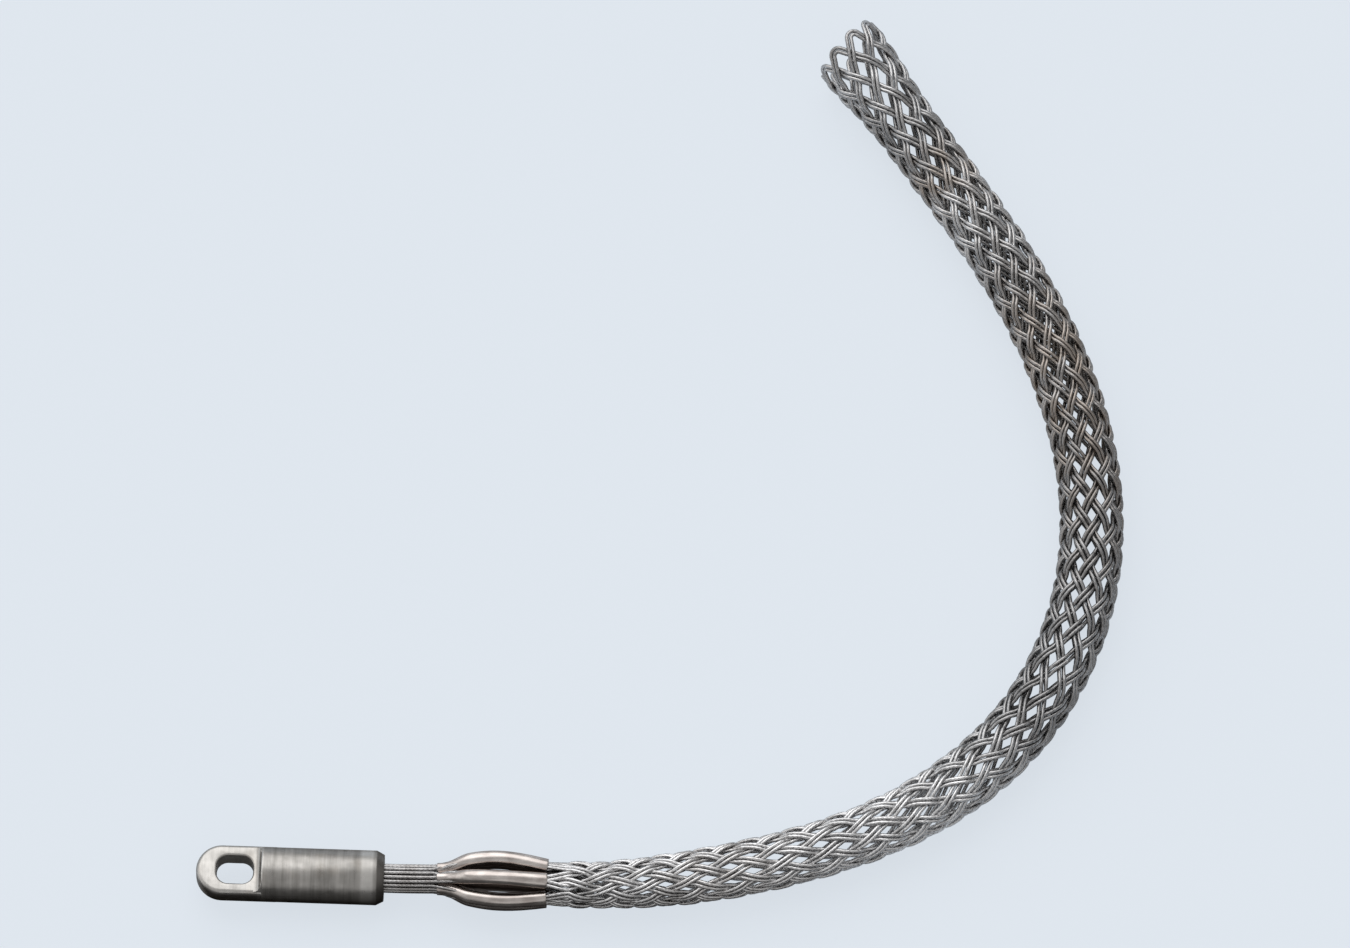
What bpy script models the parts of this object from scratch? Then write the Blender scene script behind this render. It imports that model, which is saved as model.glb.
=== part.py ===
"""Cable pulling grip: a woven wire tube that clamps round a cable, with a steel pulling eye at its head.

Sizes are in metres and angles in degrees. The grip is laid out along its own centre line: a place on it is
the distance from the mouth of the eye's socket, below zero inside the eye and above zero along the neck,
the sleeves and the mesh. A point round the line is a radius and an angle, counted from straight up towards
the left of the line's direction.
"""

import bisect
import math

import bmesh
import bpy
from mathutils import Vector

# Pulling eye: one steel bar with a blind socket at one end and a flat eye at the other
EYE_LENGTH = 0.0487
BODY_DIAMETER = 0.0142
BODY_LENGTH = 0.0319
SOCKET_DEPTH = 0.020
MOUTH_CHAMFER_LENGTH = 0.0019
MOUTH_CHAMFER_DEPTH = 0.0010
SHOULDER_FILLET = 0.0018
PLATE_WIDTH = 0.0136
PLATE_THICKNESS = 0.0065
PLATE_EDGE_ROUND = 0.0005
SLOT_LENGTH = 0.0095
SLOT_WIDTH = 0.0076
SLOT_CORNER_RADIUS = 0.0030
SLOT_TO_SHOULDER = 0.0002

# Strands: two wires side by side, drawn as one band, bundled round in the neck and flat in the mesh
STRAND_COUNT = 18
NECK_STRAND_DIAMETER = 0.0013
SLEEVED_STRAND_DIAMETER = 0.0010
MESH_STRAND_WIDTH = 0.0020
MESH_STRAND_THICKNESS = 0.0010
STRAND_GAP = 0.0003
PACKED_GAP = 0.00015
SOCKET_CLEARANCE = 0.0003
STRAND_END_CLEARANCE = 0.0015

# Sleeves: six drawn tubes over three strands each, bulging between the neck and the mesh
SLEEVE_COUNT = 6
SLEEVE_DIAMETER = 0.0040
SLEEVE_WALL = 0.0003
SLEEVE_LENGTH = 0.0271
SLEEVE_BORE_CLEARANCE = 0.0001
SLEEVE_TIP_GAP = 0.0001
SLEEVE_BULGE_GAP = 0.00225
SLEEVE_END_GAP = 0.0008
BULGE_PLACE = 0.0148
SLEEVE_SWELL_LENGTH = 0.0060
NECK_LENGTH = 0.0150
SLEEVE_TURN = -12.0

# Mesh: strands of both hands, over and under, one crossing at each row
MESH_LENGTH = 0.345
MESH_ROWS = 65
LEAD_IN_LENGTH = 0.0030
MOUTH_DIAMETER = 0.0208
MOUTH_FLARE_LENGTH = 0.028
MOUTH_SLANT = 0.0014
LOOP_RADIUS = 0.0014

# Outer diameter of the mesh, as (distance from the sleeves' ends, diameter)
MESH_DIAMETERS = (
    (0.000, 0.0133),
    (0.012, 0.0125),
    (0.023, 0.0134),
    (0.040, 0.0146),
    (0.085, 0.0156),
    (0.115, 0.0169),
    (0.165, 0.0172),
    (0.300, 0.0170),
)

# Length of one full turn of the pattern of openings, as (distance from the sleeves' ends, length)
MESH_PITCHES = (
    (0.000, 0.0113),
    (0.030, 0.0111),
    (0.045, 0.0121),
    (0.060, 0.0124),
    (0.080, 0.0118),
    (0.100, 0.0106),
    (0.125, 0.0103),
    (0.145, 0.0107),
    (0.165, 0.0095),
    (0.200, 0.0093),
    (0.235, 0.0097),
    (0.265, 0.0099),
    (0.290, 0.0108),
    (0.330, 0.0103),
)

# How far the weave has turned round the centre line, as (distance from the sleeves' ends, angle)
WEAVE_TURNS = (
    (0.000, SLEEVE_TURN),
    (0.030, 0.0),
    (0.068, 1.0),
    (0.088, 0.5),
    (0.123, -3.0),
    (0.143, -1.5),
    (0.158, 2.0),
    (0.183, 8.0),
    (0.203, 11.0),
    (0.270, 11.0),
    (0.318, 20.0),
    (0.345, 21.0),
)

# Direction of the centre line as the grip lies, as (place, angle from the eye's axis)
HEADINGS = (
    (0.000, 0.0),
    (0.014, 0.3),
    (0.042, -1.4),
    (0.067, 7.2),
    (0.117, 20.8),
    (0.154, 38.8),
    (0.192, 64.4),
    (0.242, 94.5),
    (0.280, 111.7),
    (0.325, 124.8),
    (0.360, 127.4),
    (0.391, 131.0),
)

# Fineness of the round faces and of the worked-out centre line
BODY_SIDES = 40
SLEEVE_SIDES = 12
SLEEVE_RINGS = 9
SLEEVED_STRAND_PARTS = 7
NECK_TURN_PLACE = 0.0083
MOUTH_TURN_PARTS = 4
ROUTE_STEP = 0.001

# Values that follow from the sizes above
STRAND_STEP = 360.0 / STRAND_COUNT
SLOTS_PER_SLEEVE = STRAND_COUNT // SLEEVE_COUNT
SLEEVE_STEP = 360.0 / SLEEVE_COUNT
BODY_RADIUS = BODY_DIAMETER / 2
SLEEVE_START = NECK_LENGTH
SLEEVE_END = NECK_LENGTH + SLEEVE_LENGTH
SLEEVED_OFFSET = (SLEEVED_STRAND_DIAMETER + PACKED_GAP) / math.sqrt(3)
SLEEVE_TIP_BORE = SLEEVED_OFFSET + SLEEVED_STRAND_DIAMETER / 2 + SLEEVE_BORE_CLEARANCE
SLEEVE_TIP_RADIUS = SLEEVE_TIP_BORE / math.cos(math.pi / SLEEVE_SIDES) + SLEEVE_WALL
NECK_INNER_RADIUS = NECK_STRAND_DIAMETER + STRAND_GAP
NECK_OUTER_RADIUS = 2 * NECK_INNER_RADIUS
NECK_OUTER_ANGLE = 15.0
SOCKET_RADIUS = NECK_OUTER_RADIUS + NECK_STRAND_DIAMETER / 2 + SOCKET_CLEARANCE
WEAVE_RISE = (MESH_STRAND_THICKNESS + STRAND_GAP) / 2
BULGE_OUTER_RADIUS = SLEEVE_DIAMETER + SLEEVE_BULGE_GAP + SLEEVE_DIAMETER / 2

# Colours as red, green and blue
EYE_COLOUR = (0.46, 0.44, 0.42)
SLEEVE_COLOUR = (0.74, 0.70, 0.67)
STRAND_COLOUR = (0.52, 0.52, 0.53)


def through(knots, place):
    """Return the value at a place on a smooth curve through (place, value) knots, level past its ends."""
    places = [knot[0] for knot in knots]
    values = [knot[1] for knot in knots]
    if place <= places[0]:
        return values[0]
    if place >= places[-1]:
        return values[-1]

    def slope(index):
        low = max(index - 1, 0)
        high = min(index + 1, len(knots) - 1)
        return (values[high] - values[low]) / (places[high] - places[low])

    left = bisect.bisect_right(places, place) - 1
    span = places[left + 1] - places[left]
    share = (place - places[left]) / span
    rise = values[left + 1] - values[left]
    bend_in = slope(left) * span - rise
    bend_out = rise - slope(left + 1) * span
    return values[left] + share * rise + share * (1 - share) * (bend_in * (1 - share) + bend_out * share)


def eased(low, high, share):
    """Return a value between low and high that leaves and arrives level as share goes from 0 to 1."""
    share = min(max(share, 0.0), 1.0)
    return low + (high - low) * share * share * (3 - 2 * share)


def mesh_outer_radius(distance):
    """Return the mesh's outer radius at a distance from the sleeves' ends, flared at the mouth."""
    plain = through(MESH_DIAMETERS, distance)
    flare = (distance - (MESH_LENGTH - MOUTH_FLARE_LENGTH)) / MOUTH_FLARE_LENGTH
    return eased(plain, MOUTH_DIAMETER, flare) / 2


def slanted(distance, angle):
    """Return a distance along the mesh drawn in on the left and let out on the right, as its mouth is cut."""
    share = eased(0.0, 1.0, (distance - (MESH_LENGTH - MOUTH_FLARE_LENGTH)) / MOUTH_FLARE_LENGTH)
    return distance - MOUTH_SLANT * share * math.sin(math.radians(angle))


def axis_height(place):
    """Return the height of the centre line, so that the eye, the bulge and the mesh all lie on the floor."""
    if place <= SLEEVE_START:
        return eased(BODY_RADIUS, BULGE_OUTER_RADIUS, place / (SLEEVE_START + BULGE_PLACE))
    resting = max(BULGE_OUTER_RADIUS, mesh_outer_radius(place - SLEEVE_END))
    return eased(BODY_RADIUS, resting, place / (SLEEVE_START + BULGE_PLACE))


class CentreLine:
    """The grip's centre line on the floor, straight through the eye and curved beyond it."""

    def __init__(self, length):
        """Walk along the line in short steps, turning as the headings say."""
        self.points = [(0.0, 0.0)]
        for index in range(math.ceil(length / ROUTE_STEP) + 1):
            heading = math.radians(through(HEADINGS, (index + 0.5) * ROUTE_STEP))
            x, y = self.points[-1]
            self.points.append((x + math.cos(heading) * ROUTE_STEP, y + math.sin(heading) * ROUTE_STEP))

    def point(self, place, radius, angle):
        """Return the point at a radius and an angle round a place, with the direction that faces outwards."""
        heading = math.radians(through(HEADINGS, place))
        x, y = place, 0.0
        if place > 0:
            index = min(int(place / ROUTE_STEP), len(self.points) - 2)
            share = place / ROUTE_STEP - index
            near, far = self.points[index], self.points[index + 1]
            x = near[0] + (far[0] - near[0]) * share
            y = near[1] + (far[1] - near[1]) * share
        centre = Vector((x, y, axis_height(place)))
        left = Vector((-math.sin(heading), math.cos(heading), 0.0))
        outward = Vector((0, 0, 1)) * math.cos(math.radians(angle)) + left * math.sin(math.radians(angle))
        return centre + outward * radius, outward


def row_distances():
    """Return the distance of each crossing row from the sleeves' ends, row 0 being the sleeves' ends."""
    woven = MESH_LENGTH - LEAD_IN_LENGTH
    relative = [0.0]
    for _ in range(MESH_ROWS + 1):
        relative.append(relative[-1] + through(MESH_PITCHES, LEAD_IN_LENGTH + relative[-1]) / 2)
    return [LEAD_IN_LENGTH + value * woven / relative[-1] for value in relative]


ROWS = row_distances()


def sleeve_ring_radius(distance):
    """Return how far the sleeves' centres stand from the centre line, at a distance from their neck ends."""
    tip = 2 * SLEEVE_TIP_RADIUS + SLEEVE_TIP_GAP
    bulge = SLEEVE_DIAMETER + SLEEVE_BULGE_GAP
    end = SLEEVE_DIAMETER + SLEEVE_END_GAP
    if distance < BULGE_PLACE:
        return tip + (bulge - tip) * math.sin(math.pi / 2 * distance / BULGE_PLACE)
    share = (distance - BULGE_PLACE) / (SLEEVE_LENGTH - BULGE_PLACE)
    return end + (bulge - end) * math.cos(math.pi / 2 * share)


def neck_station(slot, place):
    """Return the station of a strand in the neck: the middle one of three lies inside, the others outside."""
    sleeve, position = divmod(slot, SLOTS_PER_SLEEVE)
    side = position - 1
    radius = NECK_INNER_RADIUS if side == 0 else NECK_OUTER_RADIUS
    angle = SLEEVE_TURN + sleeve * SLEEVE_STEP + side * NECK_OUTER_ANGLE
    half = NECK_STRAND_DIAMETER / 2
    return place, radius, angle, half, half


def sleeved_station(slot, distance):
    """Return the station of a strand in its sleeve, where three strands lie in a triangle."""
    sleeve, position = divmod(slot, SLOTS_PER_SLEEVE)
    side = position - 1
    ring = sleeve_ring_radius(distance)
    radius = ring + SLEEVED_OFFSET * (0.5 if side else -1.0)
    sideways = side * SLEEVED_OFFSET * math.sqrt(3) / 2
    angle = SLEEVE_TURN + sleeve * SLEEVE_STEP + math.degrees(sideways / radius)
    half = SLEEVED_STRAND_DIAMETER / 2
    return SLEEVE_START + distance, radius, angle, half, half


def mesh_strand_width(middle_radius, half_pitch):
    """Return the width that a band has room for where it passes between two bands of the other hand."""
    room = middle_radius * math.radians(STRAND_STEP)
    slant = math.atan2(room, half_pitch)
    return min(MESH_STRAND_WIDTH, room * math.cos(slant) - STRAND_GAP)


def hand_of(slot):
    """Return 1 for a strand that turns to the left along the mesh and -1 for one that turns to the right."""
    return 1 if slot % 2 == 0 else -1


def mesh_station(slot, row):
    """Return the station of a strand at a row: over the other hand at one row and under it at the next."""
    index = min(int(row), MESH_ROWS)
    share = row - index
    distance = ROWS[index] + (ROWS[index + 1] - ROWS[index]) * share
    middle = mesh_outer_radius(distance) - MESH_STRAND_THICKNESS / 2 - WEAVE_RISE
    half_pitch = ROWS[index + 1] - ROWS[index]
    radius = middle + hand_of(slot) * WEAVE_RISE * math.cos(math.pi * row)
    angle = (slot - 1) * STRAND_STEP + hand_of(slot) * STRAND_STEP * (row - 0.5)
    angle += through(WEAVE_TURNS, distance)
    width = mesh_strand_width(middle, half_pitch)
    place = SLEEVE_END + slanted(distance, angle)
    return place, radius, angle, width / 2, MESH_STRAND_THICKNESS / 2


def strand_stations(slot):
    """Return a strand's stations from the bottom of the socket to the last row of the mesh."""
    stations = [
        neck_station(slot, -SOCKET_DEPTH + STRAND_END_CLEARANCE),
        neck_station(slot, 0.0),
        neck_station(slot, NECK_TURN_PLACE),
    ]
    for step in range(SLEEVED_STRAND_PARTS + 1):
        stations.append(sleeved_station(slot, SLEEVE_LENGTH * step / SLEEVED_STRAND_PARTS))
    stations.append(mesh_station(slot, 0.5))
    stations += [mesh_station(slot, row) for row in range(1, MESH_ROWS + 1)]
    return stations


def mouth_turn(slot):
    """Return the stations of the rounded tip where a strand turns back at the mouth."""
    last, tip = mesh_station(slot, MESH_ROWS), mesh_station(slot, MESH_ROWS + 1)
    middle = mesh_outer_radius(MESH_LENGTH) - MESH_STRAND_THICKNESS / 2 - WEAVE_RISE
    slant = math.atan2(middle * math.radians(STRAND_STEP), tip[0] - last[0])
    centre = tip[0] - LOOP_RADIUS / math.sin(slant)
    stations = []
    for step in range(MOUTH_TURN_PARTS + 1):
        turn = (2 * step / MOUTH_TURN_PARTS - 1) * (math.pi / 2 - slant)
        place = centre + LOOP_RADIUS * math.cos(turn)
        angle = tip[2] + math.degrees(LOOP_RADIUS * math.sin(turn) / middle)
        stations.append((place, middle, angle, tip[3], tip[4]))
    return stations


def partner_of(slot):
    """Return the strand of the other hand that a left-turning strand becomes at the mouth."""
    return (slot + 2 * MESH_ROWS + 1) % STRAND_COUNT


def new_object(name, mesh, collection, colour, roughness):
    """Return a new object with its own steel material, in a collection."""
    material = bpy.data.materials.new(name + "_steel")
    material.use_nodes = True
    shader = material.node_tree.nodes["Principled BSDF"]
    shader.inputs["Base Color"].default_value = (*colour, 1.0)
    shader.inputs["Metallic"].default_value = 1.0
    shader.inputs["Roughness"].default_value = roughness
    mesh.materials.append(material)
    piece = bpy.data.objects.new(name, mesh)
    collection.objects.link(piece)
    return piece


def mesh_of(builder, name):
    """Return the mesh that a bmesh holds, closed and facing outwards, and free the bmesh."""
    bmesh.ops.recalc_face_normals(builder, faces=builder.faces)
    mesh = bpy.data.meshes.new(name)
    builder.to_mesh(mesh)
    builder.free()
    return mesh


def skin(builder, rings, closed_ends):
    """Join each ring of vertices to the next with faces, and fill the first and last if asked."""
    for near, far in zip(rings, rings[1:]):
        for index in range(len(near)):
            after = (index + 1) % len(near)
            builder.faces.new((near[index], near[after], far[after], far[index]))
    if closed_ends:
        builder.faces.new(rings[0])
        builder.faces.new(rings[-1])


def section_frames(line, stations):
    """Yield each station's centre, the direction out from the mesh and the direction across the strand."""
    placed = [line.point(*station[:3]) for station in stations]
    for index, (centre, outward) in enumerate(placed):
        before = placed[max(index - 1, 0)][0]
        after = placed[min(index + 1, len(placed) - 1)][0]
        across = (after - before).cross(outward).normalized()
        yield centre, across.cross(after - before).normalized(), across


def strand_loop(name, line, slot, collection):
    """Make one strand: out along the mesh, round its loop at the mouth and back to the socket.

    Its section stays turned to the tube, which a curve's own bevel would not do, so it is swept by hand.
    """
    stations = strand_stations(slot) + mouth_turn(slot) + strand_stations(partner_of(slot))[::-1]
    builder = bmesh.new()
    rings = []
    for (centre, outward, across), station in zip(section_frames(line, stations), stations):
        half_width, half_thickness = station[3], station[4]
        corners = (outward * half_thickness, across * half_width, -outward * half_thickness, -across * half_width)
        rings.append([builder.verts.new(centre + corner) for corner in corners])
    skin(builder, rings, closed_ends=True)
    return new_object(name, mesh_of(builder, name), collection, STRAND_COLOUR, 0.38)


def strand_sleeve(name, line, sleeve, collection):
    """Make one sleeve: an open tube skin along its bulging path, with its wall from Solidify."""
    builder = bmesh.new()
    rings = []
    angle = SLEEVE_TURN + sleeve * SLEEVE_STEP
    stations = []
    for step in range(SLEEVE_RINGS):
        distance = SLEEVE_LENGTH * step / (SLEEVE_RINGS - 1)
        stations.append((SLEEVE_START + distance, sleeve_ring_radius(distance), angle, distance))
    for (centre, outward, across), station in zip(section_frames(line, stations), stations):
        radius = eased(SLEEVE_TIP_RADIUS, SLEEVE_DIAMETER / 2, station[3] / SLEEVE_SWELL_LENGTH)
        ring = []
        for side in range(SLEEVE_SIDES):
            turn = 2 * math.pi * (side + 0.5) / SLEEVE_SIDES
            ring.append(builder.verts.new(centre + (outward * math.cos(turn) + across * math.sin(turn)) * radius))
        rings.append(ring)
    skin(builder, rings, closed_ends=False)
    mesh = mesh_of(builder, name)
    mesh.shade_smooth()
    piece = new_object(name, mesh, collection, SLEEVE_COLOUR, 0.28)
    wall = piece.modifiers.new("wall", "SOLIDIFY")
    wall.thickness = SLEEVE_WALL
    wall.offset = -1.0
    wall.use_even_offset = True
    return piece


def arc(centre, radius, start, end, steps):
    """Return points on an arc from one angle to another, both ends included."""
    turns = [math.radians(start + (end - start) * step / steps) for step in range(steps + 1)]
    return [(centre[0] + radius * math.cos(turn), centre[1] + radius * math.sin(turn)) for turn in turns]


def flat_shape(name, outlines, depth, edge_round, collection):
    """Return a guide object: flat outlines filled and thickened to both sides, as a welded mesh."""
    shape = bpy.data.curves.new(name, "CURVE")
    shape.dimensions = "2D"
    shape.fill_mode = "BOTH"
    shape.extrude = depth / 2 - edge_round
    shape.bevel_depth = edge_round
    shape.bevel_resolution = 1
    for outline in outlines:
        spline = shape.splines.new("POLY")
        spline.points.add(len(outline) - 1)
        for point, (x, y) in zip(spline.points, outline):
            point.co = (x, y, 0.0, 1.0)
        spline.use_cyclic_u = True
    drawn = bpy.data.objects.new(name, shape)
    collection.objects.link(drawn)
    evaluated = drawn.evaluated_get(bpy.context.evaluated_depsgraph_get())
    builder = bmesh.new()
    flat = bpy.data.meshes.new_from_object(evaluated)
    builder.from_mesh(flat)
    bmesh.ops.remove_doubles(builder, verts=builder.verts, dist=1e-7)
    bpy.data.objects.remove(drawn)
    bpy.data.meshes.remove(flat)
    guide = bpy.data.objects.new(name, mesh_of(builder, name))
    collection.objects.link(guide)
    guide.hide_render = True
    guide.display_type = "WIRE"
    return guide


def eye_plate(collection):
    """Make the flat eye with its round tip and its slot."""
    half = PLATE_WIDTH / 2 - PLATE_EDGE_ROUND
    tip = -EYE_LENGTH + PLATE_WIDTH / 2
    root = -BODY_LENGTH + SHOULDER_FILLET
    outline = [(root, -half), (root, half)] + arc((tip, 0.0), half, 90, 270, 20)
    slot_end = -BODY_LENGTH - SHOULDER_FILLET - SLOT_TO_SHOULDER
    corner = SLOT_CORNER_RADIUS + PLATE_EDGE_ROUND
    inset = SLOT_CORNER_RADIUS
    slot = []
    for x, y, start in (
        (slot_end - inset, SLOT_WIDTH / 2 - inset, 0),
        (slot_end - SLOT_LENGTH + inset, SLOT_WIDTH / 2 - inset, 90),
        (slot_end - SLOT_LENGTH + inset, inset - SLOT_WIDTH / 2, 180),
        (slot_end - inset, inset - SLOT_WIDTH / 2, 270),
    ):
        slot += arc((x, y), corner, start, start + 90, 6)
    plate = flat_shape("eye_plate", [outline, slot], PLATE_THICKNESS, PLATE_EDGE_ROUND, collection)
    plate.location.z = BODY_RADIUS
    return plate


def shoulder_profile(collection):
    """Make the side view of the shoulder: the plate's thickness rises through a fillet to the body."""
    low, high = PLATE_THICKNESS / 2, BODY_DIAMETER
    front, back = -BODY_LENGTH - SHOULDER_FILLET, SOCKET_CLEARANCE
    fillet = arc((front, low + SHOULDER_FILLET), SHOULDER_FILLET, 270, 360, 6)
    upper = fillet + [(-BODY_LENGTH, high), (back, high)]
    outline = upper + [(x, -y) for x, y in reversed(upper)]
    profile = flat_shape("shoulder_profile", [outline], 2 * BODY_DIAMETER, 0.0, collection)
    profile.rotation_euler.x = math.radians(90)
    profile.location.z = BODY_RADIUS
    return profile


def pulling_eye(collection, guides):
    """Make the pulling eye: a turned body with a blind socket, cut to the shoulder and joined to the plate."""
    front = -BODY_LENGTH - SHOULDER_FILLET
    profile = (
        (0.0, -SOCKET_DEPTH),
        (SOCKET_RADIUS, -SOCKET_DEPTH),
        (SOCKET_RADIUS, 0.0),
        (BODY_RADIUS - MOUTH_CHAMFER_DEPTH, 0.0),
        (BODY_RADIUS, -MOUTH_CHAMFER_LENGTH),
        (BODY_RADIUS, front),
        (0.0, front),
    )
    mesh = bpy.data.meshes.new("pulling_eye")
    edges = [(index, index + 1) for index in range(len(profile) - 1)]
    mesh.from_pydata([(radius, 0.0, along) for radius, along in profile], edges, [])
    piece = new_object("pulling_eye", mesh, collection, EYE_COLOUR, 0.36)
    piece.rotation_euler.y = math.radians(90)
    piece.location.z = BODY_RADIUS
    turning = piece.modifiers.new("turning", "SCREW")
    turning.axis = "Z"
    turning.steps = BODY_SIDES
    turning.render_steps = BODY_SIDES
    turning.use_merge_vertices = True
    turning.merge_threshold = 0.00001
    turning.use_smooth_shade = False
    for name, operation, guide in (
        ("shoulder", "INTERSECT", shoulder_profile(guides)),
        ("plate", "UNION", eye_plate(guides)),
    ):
        cut = piece.modifiers.new(name, "BOOLEAN")
        cut.operation = operation
        cut.object = guide
        cut.solver = "EXACT"
    return piece


def stand_on_origin(pieces, frame):
    """Move the frame so that the grip stands on the origin, at the middle of its outline seen from above."""
    depsgraph = bpy.context.evaluated_depsgraph_get()
    corners = []
    for piece in pieces:
        evaluated = piece.evaluated_get(depsgraph)
        corners += [evaluated.matrix_world @ vertex.co for vertex in evaluated.data.vertices]
    low = [min(corner[axis] for corner in corners) for axis in range(3)]
    high = [max(corner[axis] for corner in corners) for axis in range(3)]
    frame.location = (-(low[0] + high[0]) / 2, -(low[1] + high[1]) / 2, -low[2])


def build():
    """Build the whole grip in an emptied scene."""
    for old in list(bpy.data.objects):
        bpy.data.objects.remove(old)
    parts = bpy.data.collections.new("cable_pulling_grip")
    guides = bpy.data.collections.new("guides")
    for collection in (parts, guides):
        bpy.context.scene.collection.children.link(collection)
    line = CentreLine(SLEEVE_END + MESH_LENGTH + MOUTH_DIAMETER)
    frame = bpy.data.objects.new("grip_frame", None)
    parts.objects.link(frame)
    pieces = [pulling_eye(parts, guides)]
    for sleeve in range(SLEEVE_COUNT):
        pieces.append(strand_sleeve(f"strand_sleeve_{sleeve + 1}", line, sleeve, parts))
    for number, slot in enumerate(range(0, STRAND_COUNT, 2), start=1):
        pieces.append(strand_loop(f"strand_loop_{number}", line, slot, parts))
    stand_on_origin(pieces, frame)
    for piece in list(pieces) + list(guides.objects):
        piece.parent = frame


build()
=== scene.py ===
"""Looks of a cable pulling grip: a steel pulling eye, its bundled and sleeved strands and their woven mesh.

Sizes are in metres and angles in degrees. A place on the grip is its distance along the centre line from the
mouth of the eye's socket. A point round the line is a radius and an angle, counted from straight up towards
the left of the line's direction.
"""

import bisect
import logging
import math
from collections.abc import Callable
from dataclasses import dataclass, field
from enum import Enum
from functools import cached_property

import bmesh
import bpy
import numpy as np
from mathutils import Matrix, Vector


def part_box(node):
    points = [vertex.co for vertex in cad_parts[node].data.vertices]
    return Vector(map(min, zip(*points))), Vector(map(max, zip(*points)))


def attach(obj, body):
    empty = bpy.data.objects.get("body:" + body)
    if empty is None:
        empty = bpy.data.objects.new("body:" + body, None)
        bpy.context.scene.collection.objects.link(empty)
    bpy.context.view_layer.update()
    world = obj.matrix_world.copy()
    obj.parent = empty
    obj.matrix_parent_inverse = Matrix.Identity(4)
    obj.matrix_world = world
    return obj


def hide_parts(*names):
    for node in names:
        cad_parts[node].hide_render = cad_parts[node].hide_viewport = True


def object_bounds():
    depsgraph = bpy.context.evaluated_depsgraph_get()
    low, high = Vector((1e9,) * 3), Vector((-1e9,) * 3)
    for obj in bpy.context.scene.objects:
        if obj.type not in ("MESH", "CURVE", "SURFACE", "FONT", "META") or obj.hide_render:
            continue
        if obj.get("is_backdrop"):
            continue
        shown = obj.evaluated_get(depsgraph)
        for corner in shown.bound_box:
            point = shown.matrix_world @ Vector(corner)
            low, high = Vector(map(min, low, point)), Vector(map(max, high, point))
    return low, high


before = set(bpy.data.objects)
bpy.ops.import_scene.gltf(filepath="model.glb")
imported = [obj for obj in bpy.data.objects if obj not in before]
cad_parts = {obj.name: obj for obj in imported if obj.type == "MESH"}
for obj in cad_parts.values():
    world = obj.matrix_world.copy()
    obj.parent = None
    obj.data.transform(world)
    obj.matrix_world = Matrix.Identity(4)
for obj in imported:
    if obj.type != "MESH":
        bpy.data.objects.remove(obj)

LOG = logging.getLogger("grip")
BODY = "root"
UP = Vector((0.0, 0.0, 1.0))
BLACK = (0.0, 0.0, 0.0)
WHITE = (1.0, 1.0, 1.0)

Knots = tuple[tuple[float, float], ...]
Colour = tuple[float, float, float]
Triple = tuple[float, float, float]


class Slot(Enum):
    """The record's material slots."""

    EYE = "eye_steel"
    SLEEVE = "sleeve_steel"
    STRAND = "strand_steel"


class Hand(Enum):
    """Which way a strand turns as it runs along the mesh."""

    LEFT = 1
    RIGHT = -1


def through(knots: Knots, place: float) -> float:
    """Read a smooth curve through given values.

    Args:
        knots: (place, value) pairs in order.
        place: where to read the curve.

    Returns:
        The value there, level beyond the first and last pair.
    """
    places = [knot[0] for knot in knots]
    values = [knot[1] for knot in knots]
    if place <= places[0]:
        return values[0]
    if place >= places[-1]:
        return values[-1]

    def slope(index: int) -> float:
        """Slope of the curve at a knot."""
        low, high = max(index - 1, 0), min(index + 1, len(knots) - 1)
        return (values[high] - values[low]) / (places[high] - places[low])

    left = bisect.bisect_right(places, place) - 1
    span = places[left + 1] - places[left]
    share = (place - places[left]) / span
    rise = values[left + 1] - values[left]
    bend_in = slope(left) * span - rise
    bend_out = rise - slope(left + 1) * span
    return values[left] + share * rise + share * (1 - share) * (bend_in * (1 - share) + bend_out * share)


def eased(low: float, high: float, share: float) -> float:
    """Blend two values, leaving and arriving level.

    Args:
        low: value at share 0 and below.
        high: value at share 1 and above.
        share: how far the blend has gone.

    Returns:
        The blended value.
    """
    share = min(max(share, 0.0), 1.0)
    return low + (high - low) * share * share * (3 - 2 * share)


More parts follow.
